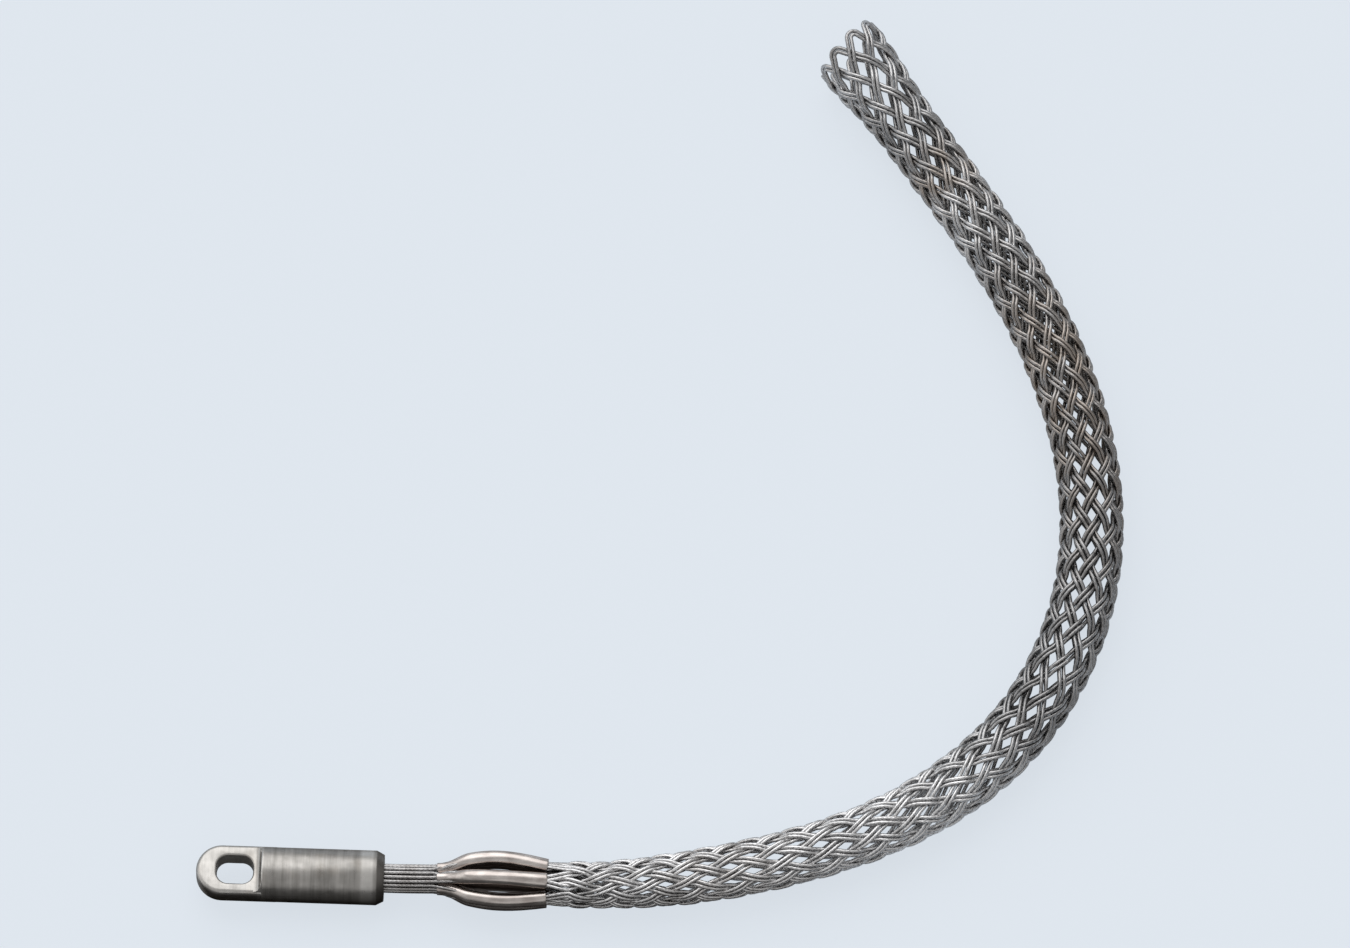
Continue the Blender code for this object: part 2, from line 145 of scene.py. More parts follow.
@dataclass(frozen=True)
class GripForm:
    """The grip's own sizes and the centre line it lies on, shared by every sub-assembly."""

    mouth_of_socket: Vector
    body_radius: float = 0.0071
    neck_length: float = 0.0150
    sleeve_count: int = 6
    sleeve_turn: float = -12.0
    sleeve_length: float = 0.0271
    sleeve_radius: float = 0.0020
    sleeve_tip_radius: float = 0.0016
    sleeve_tip_gap: float = 0.0001
    bulge_place: float = 0.0148
    bulge_gap: float = 0.00225
    sleeve_end_gap: float = 0.0008
    mesh_length: float = 0.345
    mesh_rows: int = 65
    lead_in: float = 0.0030
    strand_count: int = 18
    mouth_diameter: float = 0.0208
    flare_length: float = 0.028
    mouth_slant: float = 0.0014
    mesh_diameters: Knots = (
        (0.000, 0.0133),
        (0.012, 0.0125),
        (0.023, 0.0134),
        (0.040, 0.0146),
        (0.085, 0.0156),
        (0.115, 0.0169),
        (0.165, 0.0172),
        (0.300, 0.0170),
    )
    mesh_pitches: Knots = (
        (0.000, 0.0113),
        (0.030, 0.0111),
        (0.045, 0.0121),
        (0.060, 0.0124),
        (0.080, 0.0118),
        (0.100, 0.0106),
        (0.125, 0.0103),
        (0.145, 0.0107),
        (0.165, 0.0095),
        (0.200, 0.0093),
        (0.235, 0.0097),
        (0.265, 0.0099),
        (0.290, 0.0108),
        (0.330, 0.0103),
    )
    weave_turns: Knots = (
        (0.000, -12.0),
        (0.030, 0.0),
        (0.068, 1.0),
        (0.088, 0.5),
        (0.123, -3.0),
        (0.143, -1.5),
        (0.158, 2.0),
        (0.183, 8.0),
        (0.203, 11.0),
        (0.270, 11.0),
        (0.318, 20.0),
        (0.345, 21.0),
    )
    headings: Knots = (
        (0.000, 0.0),
        (0.014, 0.3),
        (0.042, -1.4),
        (0.067, 7.2),
        (0.117, 20.8),
        (0.154, 38.8),
        (0.192, 64.4),
        (0.242, 94.5),
        (0.280, 111.7),
        (0.325, 124.8),
        (0.360, 127.4),
        (0.391, 131.0),
    )
    step: float = 0.001
    spare_steps: int = 20
    track: list[tuple[float, float]] = field(default_factory=list)
    rows: list[float] = field(default_factory=list)

    def __post_init__(self) -> None:
        """Walk the centre line and place the crossing rows."""
        self.track.append((0.0, 0.0))
        count = math.ceil((self.mesh_start + self.mesh_length) / self.step) + self.spare_steps
        for index in range(count):
            heading = math.radians(through(self.headings, (index + 0.5) * self.step))
            x, y = self.track[-1]
            self.track.append((x + math.cos(heading) * self.step, y + math.sin(heading) * self.step))
        woven = self.mesh_length - self.lead_in
        relative = [0.0]
        for _ in range(self.mesh_rows + 1):
            relative.append(relative[-1] + through(self.mesh_pitches, self.lead_in + relative[-1]) / 2)
        self.rows.extend(self.lead_in + value * woven / relative[-1] for value in relative)

    @property
    def mesh_start(self) -> float:
        """Place where the sleeves end and the mesh begins."""
        return self.neck_length + self.sleeve_length

    @property
    def socket_centre(self) -> Vector:
        """The middle of the socket's mouth, on the eye's axis."""
        return self.mouth_of_socket + UP * self.body_radius

    @property
    def strands_per_sleeve(self) -> int:
        """How many strands run through each sleeve."""
        return self.strand_count // self.sleeve_count

    @property
    def strand_step(self) -> float:
        """Angle between neighbouring strands."""
        return 360.0 / self.strand_count

    @property
    def bulge_outer_radius(self) -> float:
        """How far the sleeves reach from the centre line at the bulge."""
        return 3 * self.sleeve_radius + self.bulge_gap

    def sleeve_angle(self, sleeve: int) -> float:
        """Angle at which a sleeve lies round the centre line."""
        return self.sleeve_turn + sleeve * 360.0 / self.sleeve_count

    def mesh_outer_radius(self, distance: float) -> float:
        """Find the outer radius of the mesh, flared at the mouth.

        Args:
            distance: how far it is from the sleeves' ends.

        Returns:
            The radius.
        """
        plain = through(self.mesh_diameters, distance)
        flare = (distance - (self.mesh_length - self.flare_length)) / self.flare_length
        return eased(plain, self.mouth_diameter, flare) / 2

    def slanted(self, distance: float, angle: float) -> float:
        """A distance along the mesh drawn in on the left and let out on the right, as its mouth is cut."""
        share = eased(0.0, 1.0, (distance - (self.mesh_length - self.flare_length)) / self.flare_length)
        return distance - self.mouth_slant * share * math.sin(math.radians(angle))

    def axis_height(self, place: float) -> float:
        """Find the height of the centre line above the floor.

        Args:
            place: where on the line.

        Returns:
            The height.
        """
        swell = self.neck_length + self.bulge_place
        resting = self.bulge_outer_radius
        if place > self.neck_length:
            resting = max(resting, self.mesh_outer_radius(place - self.mesh_start))
        return eased(self.body_radius, resting, place / swell)

    def point(self, place: float, radius: float, angle: float) -> tuple[Vector, Vector]:
        """Find a point round the centre line.

        Args:
            place: distance along the line.
            radius: distance from the line.
            angle: degrees from straight up towards the left.

        Returns:
            The point and the direction that faces away from the line there.
        """
        heading = math.radians(through(self.headings, place))
        x, y = place, 0.0
        if place > 0:
            index = min(int(place / self.step), len(self.track) - 2)
            share = place / self.step - index
            near, far = self.track[index], self.track[index + 1]
            x = near[0] + (far[0] - near[0]) * share
            y = near[1] + (far[1] - near[1]) * share
        left = Vector((-math.sin(heading), math.cos(heading), 0.0))
        outward = UP * math.cos(math.radians(angle)) + left * math.sin(math.radians(angle))
        centre = self.mouth_of_socket + Vector((x, y, self.axis_height(place)))
        return centre + outward * radius, outward

    def row_place(self, row: float) -> float:
        """Place of a crossing row, which may lie between two rows."""
        index = min(int(row), self.mesh_rows)
        return self.mesh_start + self.rows[index] + (self.rows[index + 1] - self.rows[index]) * (row - index)

    def sleeve_ring_radius(self, distance: float) -> float:
        """Find how far the sleeves' centres are from the centre line.

        Args:
            distance: how far it is from their neck ends.

        Returns:
            The radius of the ring they lie on.
        """
        tip = 2 * self.sleeve_tip_radius + self.sleeve_tip_gap
        bulge = 2 * self.sleeve_radius + self.bulge_gap
        end = 2 * self.sleeve_radius + self.sleeve_end_gap
        if distance < self.bulge_place:
            return tip + (bulge - tip) * math.sin(math.pi / 2 * distance / self.bulge_place)
        share = (distance - self.bulge_place) / (self.sleeve_length - self.bulge_place)
        return end + (bulge - end) * math.cos(math.pi / 2 * share)


@dataclass(frozen=True)
class ShadeAndTarnish:
    """Painted shade on what faces the centre line or the floor, stretches of painted light and shade that are
    brighter or duller, and browner stretches of tarnish.

    Each stretch is given as (place, share) pairs along the grip. The points are worked through a batch at
    a time, and a point on the centre line counts as the shortest distance away from it.
    """

    form: GripForm
    # how strong the painted shade on inward faces is, along the grip
    inward_shade_share: Knots = (
        (0.000, 0.55),
        (0.014, 0.55),
        (0.018, 1.00),
        (0.042, 1.00),
        (0.056, 0.52),
        (0.080, 0.32),
        (0.130, 0.34),
        (0.160, 0.60),
        (0.240, 0.74),
        (0.270, 0.72),
        (0.300, 0.70),
        (0.335, 0.62),
        (0.391, 0.56),
    )
    # painted light and shade along the grip: 1 keeps the colour, less darkens it
    painted_light_level: Knots = (
        (0.000, 0.62),
        (0.015, 0.62),
        (0.042, 0.86),
        (0.060, 0.94),
        (0.080, 1.00),
        (0.128, 1.00),
        (0.148, 0.97),
        (0.163, 0.74),
        (0.180, 0.47),
        (0.220, 0.46),
        (0.245, 0.38),
        (0.262, 0.44),
        (0.285, 0.59),
        (0.310, 0.56),
        (0.335, 0.78),
        (0.352, 0.50),
        (0.372, 0.70),
        (0.391, 0.68),
    )
    tarnish: Knots = (
        (0.041, 0.20),
        (0.060, 0.12),
        (0.088, 0.28),
        (0.100, 0.20),
        (0.120, 0.06),
        (0.215, 0.10),
        (0.240, 0.34),
        (0.262, 0.58),
        (0.276, 0.70),
        (0.294, 0.58),
        (0.306, 0.34),
        (0.322, 0.12),
        (0.334, 0.30),
        (0.342, 0.75),
        (0.350, 0.30),
        (0.364, 0.10),
        (0.391, 0.12),
    )
    batch: int = 4096
    shortest: float = 1e-9

    def apply(self, piece: bpy.types.Object) -> None:
        """Store on each point of a piece how far it faces inwards and down, and what its stretch is like.

        Args:
            piece: the piece, a plain mesh.
        """
        mesh = piece.data
        count = len(mesh.vertices)
        spots = np.empty(count * 3, dtype=np.float32)
        normals = np.empty(count * 3, dtype=np.float32)
        mesh.vertices.foreach_get("co", spots)
        mesh.vertex_normals.foreach_get("vector", normals)
        spots, normals = spots.reshape(-1, 3), normals.reshape(-1, 3)
        line = np.array([(x, y, self.form.axis_height(index * self.form.step))
                         for index, (x, y) in enumerate(self.form.track)], dtype=np.float32)
        line[:, :2] += np.array(self.form.mouth_of_socket[:2], dtype=np.float32)
        nearest = np.empty(count, dtype=np.int64)
        for start in range(0, count, self.batch):
            apart = spots[start:start + self.batch, None, :2] - line[None, :, :2]
            nearest[start:start + self.batch] = (apart ** 2).sum(axis=2).argmin(axis=1)
        outward = spots - line[nearest]
        outward /= np.maximum(np.linalg.norm(outward, axis=1, keepdims=True), self.shortest)
        inward = (1 - (outward * normals).sum(axis=1)) / 2
        # inward and under drive painted shade: darker where a face looks at the centre line or down at the
        # floor
        shares = {
            "inward": inward * self.along(self.inward_shade_share)[nearest],
            "under": (1 - normals[:, 2]) / 2,
            "painted_light_level": self.along(self.painted_light_level)[nearest],
            "tarnish": self.along(self.tarnish)[nearest],
        }
        for name, values in shares.items():
            stored = mesh.attributes.new(name, "FLOAT", "POINT")
            stored.data.foreach_set("value", values.astype(np.float32))

    def along(self, knots: Knots) -> np.ndarray:
        """A stretch's share at each step of the centre line."""
        return np.array([min(max(through(knots, index * self.form.step), 0.0), 1.0)
                         for index in range(len(self.form.track))], dtype=np.float32)


@dataclass(frozen=True)
class Clouds:
    """A cloudy pattern: cells in a metre, octaves, strength of the finer octaves, and its seed."""

    scale: float
    detail: float
    roughness: float
    seed: float


@dataclass(frozen=True)
class Ramp:
    """A smooth change from one value to another between two readings, held beyond them."""

    start: float
    end: float
    at_start: float = 0.0
    at_end: float = 1.0

    def moved(self, distance: float) -> "Ramp":
        """The same change with both readings a distance further on."""
        return Ramp(self.start + distance, self.end + distance, self.at_start, self.at_end)


class NodeWork:
    """A node tree under construction, with short calls for what every tree here uses."""

    def __init__(self, tree: bpy.types.NodeTree) -> None:
        """Take up the tree that the nodes go in."""
        self.tree = tree

    def feed(self, socket: bpy.types.NodeSocket, value: object) -> None:
        """Link a socket to a node's output, or set it to a plain value.

        Args:
            socket: the input.
            value: an output, a number, a vector, a word or a material, or a colour, which gets an alpha of 1.
        """
        if isinstance(value, bpy.types.NodeSocket):
            self.tree.links.new(value, socket)
        elif socket.type == "RGBA":
            socket.default_value = (*value, 1.0)
        else:
            socket.default_value = value

    def add(self, kind: str, settings: dict[str, object] | None = None, **sockets: object) -> bpy.types.Node:
        """Add a node.

        Args:
            kind: the node's type name.
            settings: its properties.
            sockets: its inputs by name, with _ for a space, each a value or another node's output.

        Returns:
            The node.
        """
        node = self.tree.nodes.new(kind)
        for name, value in (settings or {}).items():
            setattr(node, name, value)
        for name, value in sockets.items():
            self.feed(node.inputs[name.replace("_", " ")], value)
        return node

    def math(self, operation: str, first: object, second: object = 0.0) -> bpy.types.NodeSocket:
        """Combine two numbers.

        Args:
            operation: what is done with them.
            first: the first number or output.
            second: the second number or output.

        Returns:
            The result.
        """
        node = self.add("ShaderNodeMath", {"operation": operation})
        self.feed(node.inputs[0], first)
        self.feed(node.inputs[1], second)
        return node.outputs[0]

    def vector_math(self, operation: str, first: object, second: object) -> bpy.types.NodeSocket:
        """Combine two vectors, or scale one.

        Args:
            operation: what is done with them.
            first: the first vector or output.
            second: the second one, or the number that the first is scaled by.

        Returns:
            The result, a number where it is a dot product.
        """
        node = self.add("ShaderNodeVectorMath", {"operation": operation})
        self.feed(node.inputs[0], first)
        self.feed(node.inputs["Scale" if operation == "SCALE" else 1], second)
        return node.outputs["Value" if operation == "DOT_PRODUCT" else "Vector"]

    def ramp(self, reading: object, ramp: Ramp) -> bpy.types.NodeSocket:
        """Turn a reading into the value that a ramp gives for it.

        Args:
            reading: a number or output.
            ramp: the ramp.

        Returns:
            The value.
        """
        return self.add("ShaderNodeMapRange", {"interpolation_type": "SMOOTHSTEP"}, Value=reading,
                        From_Min=ramp.start, From_Max=ramp.end,
                        To_Min=ramp.at_start, To_Max=ramp.at_end).outputs["Result"]

    def joined(self, share: bpy.types.NodeSocket, first: bpy.types.Node, second: bpy.types.Node,
               output: str) -> None:
        """Mix two shaders into the tree's output.

        Args:
            share: how much of the second shader there is.
            first: the first shader.
            second: the second shader.
            output: the output node's name.
        """
        mixed = self.add("ShaderNodeMixShader", Fac=share)
        self.feed(mixed.inputs[1], first.outputs[0])
        self.feed(mixed.inputs[2], second.outputs[0])
        self.feed(self.tree.nodes[output].inputs["Surface"], mixed.outputs[0])


class ShaderTree(NodeWork):
    """A material under construction, with short calls for what the finishes share."""

    def __init__(self, name: str) -> None:
        """Start a material with its Principled shader.

        Args:
            name: the material's name.
        """
        self.material = bpy.data.materials.new(name)
        self.material.use_nodes = True
        super().__init__(self.material.node_tree)
        self.shader = self.tree.nodes["Principled BSDF"]

    @cached_property
    def place(self) -> bpy.types.NodeSocket:
        """The Object coordinates."""
        return self.add("ShaderNodeTexCoord").outputs["Object"]

    def clouds(self, pattern: Clouds, stretch: Triple | None = None) -> bpy.types.NodeSocket:
        """Read a cloudy pattern.

        Args:
            pattern: its scale, detail, roughness and seed.
            stretch: what each coordinate is multiplied by first, so that less than 1 draws the pattern out.

        Returns:
            The pattern, about 0 to 1.
        """
        vector = self.place
        if stretch is not None:
            vector = self.add("ShaderNodeMapping", Vector=vector, Scale=stretch).outputs["Vector"]
        return self.add("ShaderNodeTexNoise", {"noise_dimensions": "4D"}, Vector=vector, W=pattern.seed,
                        Scale=pattern.scale, Detail=pattern.detail,
                        Roughness=pattern.roughness).outputs["Fac"]

    def blended(self, first: bpy.types.NodeSocket, second: bpy.types.NodeSocket,
                share: float) -> bpy.types.NodeSocket:
        """Blend two patterns, the first by its share and the second by the rest."""
        return self.math("ADD", self.math("MULTIPLY", first, share), self.math("MULTIPLY", second, 1 - share))

    def mixed(self, share: object, low: object, high: object) -> bpy.types.NodeSocket:
        """Mix two colours.

        Args:
            share: how much of the second there is.
            low: the first colour or output.
            high: the second colour or output.

        Returns:
            The mixed colour.
        """
        node = self.add("ShaderNodeMix", {"data_type": "RGBA"}, Factor=share)
        first, second = (socket for socket in node.inputs if socket.type == "RGBA")
        self.feed(first, low)
        self.feed(second, high)
        return next(socket for socket in node.outputs if socket.type == "RGBA")

    def bump(self, height: bpy.types.NodeSocket, distance: float, strength: float,
             over: bpy.types.NodeSocket | None = None) -> bpy.types.NodeSocket:
        """Turn a height into a surface normal.

        Args:
            height: the height, 0 to 1.
            distance: how high 1 stands, in metres.
            strength: how much of it shows.
            over: a normal that this one is laid over.

        Returns:
            The new normal.
        """
        node = self.add("ShaderNodeBump", Strength=strength, Distance=distance, Height=height)
        if over is not None:
            self.feed(node.inputs["Normal"], over)
        return node.outputs["Normal"]

    def stored(self, name: str, output: str = "Fac") -> bpy.types.NodeSocket:
        """A number stored on the mesh, or a vector where the output is Vector."""
        return self.add("ShaderNodeAttribute", {"attribute_name": name}).outputs[output]

    def split(self, vector: bpy.types.NodeSocket) -> tuple[bpy.types.NodeSocket, ...]:
        """A vector's three numbers."""
        return tuple(self.add("ShaderNodeSeparateXYZ", Vector=vector).outputs)

    def dressed(self, **sockets: object) -> bpy.types.Material:
        """Give the shader its inputs.

        Args:
            sockets: the inputs by name, with _ for a space, each a value or a node's output.

        Returns:
            The finished material.
        """
        for name, value in sockets.items():
            self.feed(self.shader.inputs[name.replace("_", " ")], value)
        return self.material


@dataclass(frozen=True)
class EyeFinish:
    """Satin plated steel, turned, with fine marks round the bar, painted highlights on the socket's rim, the
    plate and the shoulder, and painted shade on the chamfer and underneath.

    The ramps for the rim, the plate, the shoulder and the chamfer read the place along X, counted from
    the socket's mouth.
    """

    dark: Colour = (0.225, 0.216, 0.203)
    light: Colour = (0.41, 0.395, 0.376)
    tint: Colour = (0.31, 0.255, 0.20)
    # painted highlight colour for the rim, the plate and the shoulder
    painted_highlight: Colour = (0.60, 0.585, 0.56)
    # painted shade on the socket's chamfer
    chamfer_shade: Colour = (0.135, 0.125, 0.115)
    # painted shade underneath, where the surface faces the floor
    underside_shade: Colour = (0.085, 0.078, 0.070)
    edge: Colour = (0.42, 0.40, 0.38)
    marks: Clouds = Clouds(900.0, 4.0, 0.65, 2.0)
    mark_stretch: Triple = (1.0, 0.06, 0.06)
    mark_share: float = 0.6
    mark_height: float = 0.00002
    mark_strength: float = 0.7
    broad: Clouds = Clouds(160.0, 3.0, 0.5, 5.0)
    blotches: Clouds = Clouds(420.0, 2.0, 0.5, 9.0)
    blotch_height: float = 0.00002
    blotch_strength: float = 0.5
    warmth: Clouds = Clouds(90.0, 2.0, 0.5, 14.0)
    tone: Ramp = Ramp(0.32, 0.68)
    warm: Ramp = Ramp(0.55, 0.75, 0.0, 0.4)
    rim_rise: Ramp = Ramp(-0.0066, -0.0054)
    rim_fall: Ramp = Ramp(-0.0032, -0.0024)
    rim_patchiness: Ramp = Ramp(0.3, 0.7, 0.6, 1.0)
    plate: Ramp = Ramp(-0.0337, -0.0323, 0.36, 0.0)
    shoulder_rise: Ramp = Ramp(-0.0329, -0.0325, 0.0, 0.6)
    shoulder_fall: Ramp = Ramp(-0.0316, -0.0311, 0.0, 0.6)
    chamfer: Ramp = Ramp(-0.0022, -0.0016, 0.0, 0.8)
    under: Ramp = Ramp(0.16, 0.58, 0.0, 0.85)
    roughness: Ramp = Ramp(0.3, 0.7, 0.27, 0.42)

    def material(self, mouth: float) -> bpy.types.Material:
        """Build the material.

        Args:
            mouth: where the eye's socket mouth lies along X.

        Returns:
            The material.
        """
        tree = ShaderTree("eye_steel_finish")
        marks = tree.clouds(self.marks, self.mark_stretch)
        broad = tree.clouds(self.broad)
        blotches = tree.clouds(self.blotches)
        tone = tree.ramp(tree.blended(marks, broad, self.mark_share), self.tone)
        base = tree.mixed(tone, self.dark, self.light)
        along = tree.split(tree.place)[0]
        rim = tree.math("SUBTRACT", tree.ramp(along, self.rim_rise.moved(mouth)),
                        tree.ramp(along, self.rim_fall.moved(mouth)))
        shoulder = tree.math("SUBTRACT", tree.ramp(along, self.shoulder_rise.moved(mouth)),
                             tree.ramp(along, self.shoulder_fall.moved(mouth)))
        for share, colour in (
            (tree.ramp(tree.clouds(self.warmth), self.warm), self.tint),
            # painted highlights: a patchy band round the socket's rim, the whole plate, and a band on the
            # shoulder
            (tree.math("MULTIPLY", rim, tree.ramp(broad, self.rim_patchiness)), self.painted_highlight),
            (tree.ramp(along, self.plate.moved(mouth)), self.painted_highlight),
            (shoulder, self.painted_highlight),
            # painted shade on the chamfer
            (tree.ramp(along, self.chamfer.moved(mouth)), self.chamfer_shade),
            # painted shade on what faces down
            (tree.ramp(tree.stored("under"), self.under), self.underside_shade),
        ):
            base = tree.mixed(share, base, colour)
        normal = tree.bump(marks, self.mark_height, self.mark_strength)
        return tree.dressed(Base_Color=base, Specular_Tint=self.edge, Metallic=1.0,
                            Roughness=tree.ramp(blotches, self.roughness),
                            Normal=tree.bump(blotches, self.blotch_height, self.blotch_strength, normal))


@dataclass(frozen=True)
class SleeveFinish:
    """Bright drawn steel with soft streaks along the sleeve, painted a dark brown shade where it faces
    inwards and painted darker underneath.
    """

    dark: Colour = (0.37, 0.33, 0.31)
    light: Colour = (0.62, 0.575, 0.545)
    # painted shade colour where the sleeves face inwards
    painted_shade: Colour = (0.095, 0.070, 0.057)
    # painted shade underneath, where the surface faces the floor
    underside_shade: Colour = (0.16, 0.14, 0.13)
    edge: Colour = (0.50, 0.45, 0.42)
    streaks: Clouds = Clouds(1400.0, 3.0, 0.6, 3.0)
    streak_stretch: Triple = (0.05, 1.0, 1.0)
    streak_share: float = 0.5
    streak_height: float = 0.000012
    streak_strength: float = 0.6
    broad: Clouds = Clouds(220.0, 2.0, 0.5, 7.0)
    tone: Ramp = Ramp(0.34, 0.66)
    shaded: Ramp = Ramp(0.40, 0.66, 0.0, 0.95)
    under: Ramp = Ramp(0.22, 0.62, 0.0, 0.7)
    roughness: Ramp = Ramp(0.3, 0.7, 0.17, 0.28)
    shaded_roughness: float = 0.3

    def material(self) -> bpy.types.Material:
        """Build the material.

        Returns:
            The material.
        """
        tree = ShaderTree("sleeve_steel_finish")
        streaks = tree.clouds(self.streaks, self.streak_stretch)
        broad = tree.clouds(self.broad)
        base = tree.mixed(tree.ramp(tree.blended(streaks, broad, self.streak_share), self.tone),
                          self.dark, self.light)
        # painted shade on what faces down
        base = tree.mixed(tree.ramp(tree.stored("under"), self.under), base, self.underside_shade)
        # painted shade where a face looks at the centre line, which also makes it rougher
        shaded = tree.ramp(tree.stored("inward"), self.shaded)
        roughness = tree.math("ADD", tree.ramp(broad, self.roughness),
                              tree.math("MULTIPLY", shaded, self.shaded_roughness))
        return tree.dressed(Base_Color=tree.mixed(shaded, base, self.painted_shade), Specular_Tint=self.edge,
                            Metallic=1.0, Roughness=roughness,
                            Normal=tree.bump(streaks, self.streak_height, self.streak_strength))


@dataclass(frozen=True)
class StrandFinish:
    """Galvanised wire, drawn and laid, with painted shade in the weave and in the lay's grooves, painted
    light and shade along the grip, and a few warm brown patches.
    """

    dark: Colour = (0.46, 0.46, 0.465)
    light: Colour = (0.95, 0.95, 0.96)
    tint: Colour = (0.27, 0.20, 0.14)
    # painted shade colour for the weave's inner faces and the lay's grooves
    painted_shade: Colour = (0.110, 0.102, 0.095)
    edge: Colour = (0.62, 0.61, 0.60)
    lay_wires: float = 6.0
    lay_length: float = 0.0066
    lay_height: float = 0.00002
    lay_strength: float = 0.6
    fine: Clouds = Clouds(1500.0, 3.0, 0.6, 1.0)
    fine_share: float = 0.55
    fine_height: float = 0.00003
    fine_strength: float = 0.5
    broad: Clouds = Clouds(130.0, 3.0, 0.55, 4.0)
    patches: Clouds = Clouds(170.0, 2.0, 0.5, 21.0)
    ridge: Ramp = Ramp(-1.0, 1.0)
    tone: Ramp = Ramp(0.36, 0.64)
    patched: Ramp = Ramp(0.38, 0.62, 0.25, 0.80)
    groove: Ramp = Ramp(0.05, 0.45, 0.45, 0.0)
    inside: Ramp = Ramp(0.34, 0.80, 0.0, 0.84)
    roughness: Ramp = Ramp(0.3, 0.7, 0.18, 0.36)

    def material(self) -> bpy.types.Material:
        """Build the material.

        Returns:
            The material.
        """
        tree = ShaderTree("strand_steel_finish")
        across, around, along = tree.split(tree.stored("lay", "Vector"))
        turn = tree.math("MULTIPLY", tree.math("ARCTAN2", around, across), self.lay_wires)
        advance = tree.math("MULTIPLY", along, 2 * math.pi * self.lay_wires / self.lay_length)
        ridges = tree.ramp(tree.math("SINE", tree.math("ADD", turn, advance)), self.ridge)
        fine = tree.clouds(self.fine)
        tone = tree.ramp(tree.blended(fine, tree.clouds(self.broad), self.fine_share), self.tone)
        # painted light and shade along the grip: the stored level darkens the colour towards black
        base = tree.mixed(tree.stored("painted_light_level"), BLACK, tree.mixed(tone, self.dark, self.light))
        patches = tree.ramp(tree.clouds(self.patches), self.patched)
        base = tree.mixed(tree.math("MULTIPLY", patches, tree.stored("tarnish")), base, self.tint)
        # painted shade in the lay's grooves and on faces that look at the centre line
        shaded = tree.math("MAXIMUM", tree.ramp(ridges, self.groove),
                          tree.ramp(tree.stored("inward"), self.inside))
        normal = tree.bump(ridges, self.lay_height, self.lay_strength)
        return tree.dressed(Base_Color=tree.mixed(shaded, base, self.painted_shade), Specular_Tint=self.edge,
                            Metallic=1.0, Roughness=tree.ramp(fine, self.roughness),
                            Normal=tree.bump(fine, self.fine_height, self.fine_strength, normal))


class NodeChain(NodeWork):
    """A Geometry Nodes tree under construction."""

    def __init__(self, name: str) -> None:
        """Start an empty tree with a geometry input and output.

        Args:
            name: the tree's name.
        """
        super().__init__(bpy.data.node_groups.new(name, "GeometryNodeTree"))
        for way in ("INPUT", "OUTPUT"):
            self.tree.interface.new_socket("Geometry", in_out=way, socket_type="NodeSocketGeometry")
        self.inputs = self.add("NodeGroupInput")

    def size(self, name: str, value: float | int | None) -> None:
        """Add a named input.

        Args:
            name: its name.
            value: its first value, or None for a material.
        """
        kind = {int: "NodeSocketInt", float: "NodeSocketFloat"}.get(type(value), "NodeSocketMaterial")
        socket = self.tree.interface.new_socket(name, in_out="INPUT", socket_type=kind)
        if value is not None:
            socket.default_value = value

    def captured(self, geometry: bpy.types.NodeSocket,
                 value: bpy.types.NodeSocket) -> tuple[bpy.types.NodeSocket, bpy.types.NodeSocket]:
        """Keep a number on each point.

        Args:
            geometry: what has the points.
            value: the number.

        Returns:
            The geometry and the kept number.
        """
        node = self.add("GeometryNodeCaptureAttribute")
        node.capture_items.new("FLOAT", "Kept")
        self.feed(node.inputs[0], geometry)
        self.feed(node.inputs[1], value)
        return node.outputs[0], node.outputs[1]

    def finish(self, geometry: bpy.types.NodeSocket) -> bpy.types.NodeTree:
        """End the tree in Realize Instances and Set Material.

        Args:
            geometry: what the tree has made.

        Returns:
            The tree.
        """
        real = self.add("GeometryNodeRealizeInstances", Geometry=geometry)
        dressed = self.add("GeometryNodeSetMaterial", Geometry=real.outputs[0],
                           Material=self.inputs.outputs["Material"])
        self.feed(self.add("NodeGroupOutput").inputs[0], dressed.outputs[0])
        return self.tree


def settled(piece: bpy.types.Object, name: str) -> bpy.types.Object:
    """Turn an object with modifiers into a plain one, at the origin.

    Args:
        piece: the object to replace.
        name: the new object's name.

    Returns:
        The plain object.
    """
    evaluated = piece.evaluated_get(bpy.context.evaluated_depsgraph_get())
    mesh = bpy.data.meshes.new_from_object(evaluated)
    mesh.transform(piece.matrix_world)
    bpy.data.objects.remove(piece)
    mesh.name = name
    return placed(mesh, name)


def placed(data: bpy.types.ID, name: str) -> bpy.types.Object:
    """Put a mesh, lamp or camera in the scene as a new object.

    Args:
        data: the mesh, lamp or camera.
        name: the object's name.

    Returns:
        The object.
    """
    made = bpy.data.objects.new(name, data)
    bpy.context.scene.collection.objects.link(made)
    return made


def neighbours(spots: list[Vector], index: int) -> tuple[Vector, Vector]:
    """The spots before and after one of a row, or that one itself at an end."""
    return spots[max(index - 1, 0)], spots[min(index + 1, len(spots) - 1)]


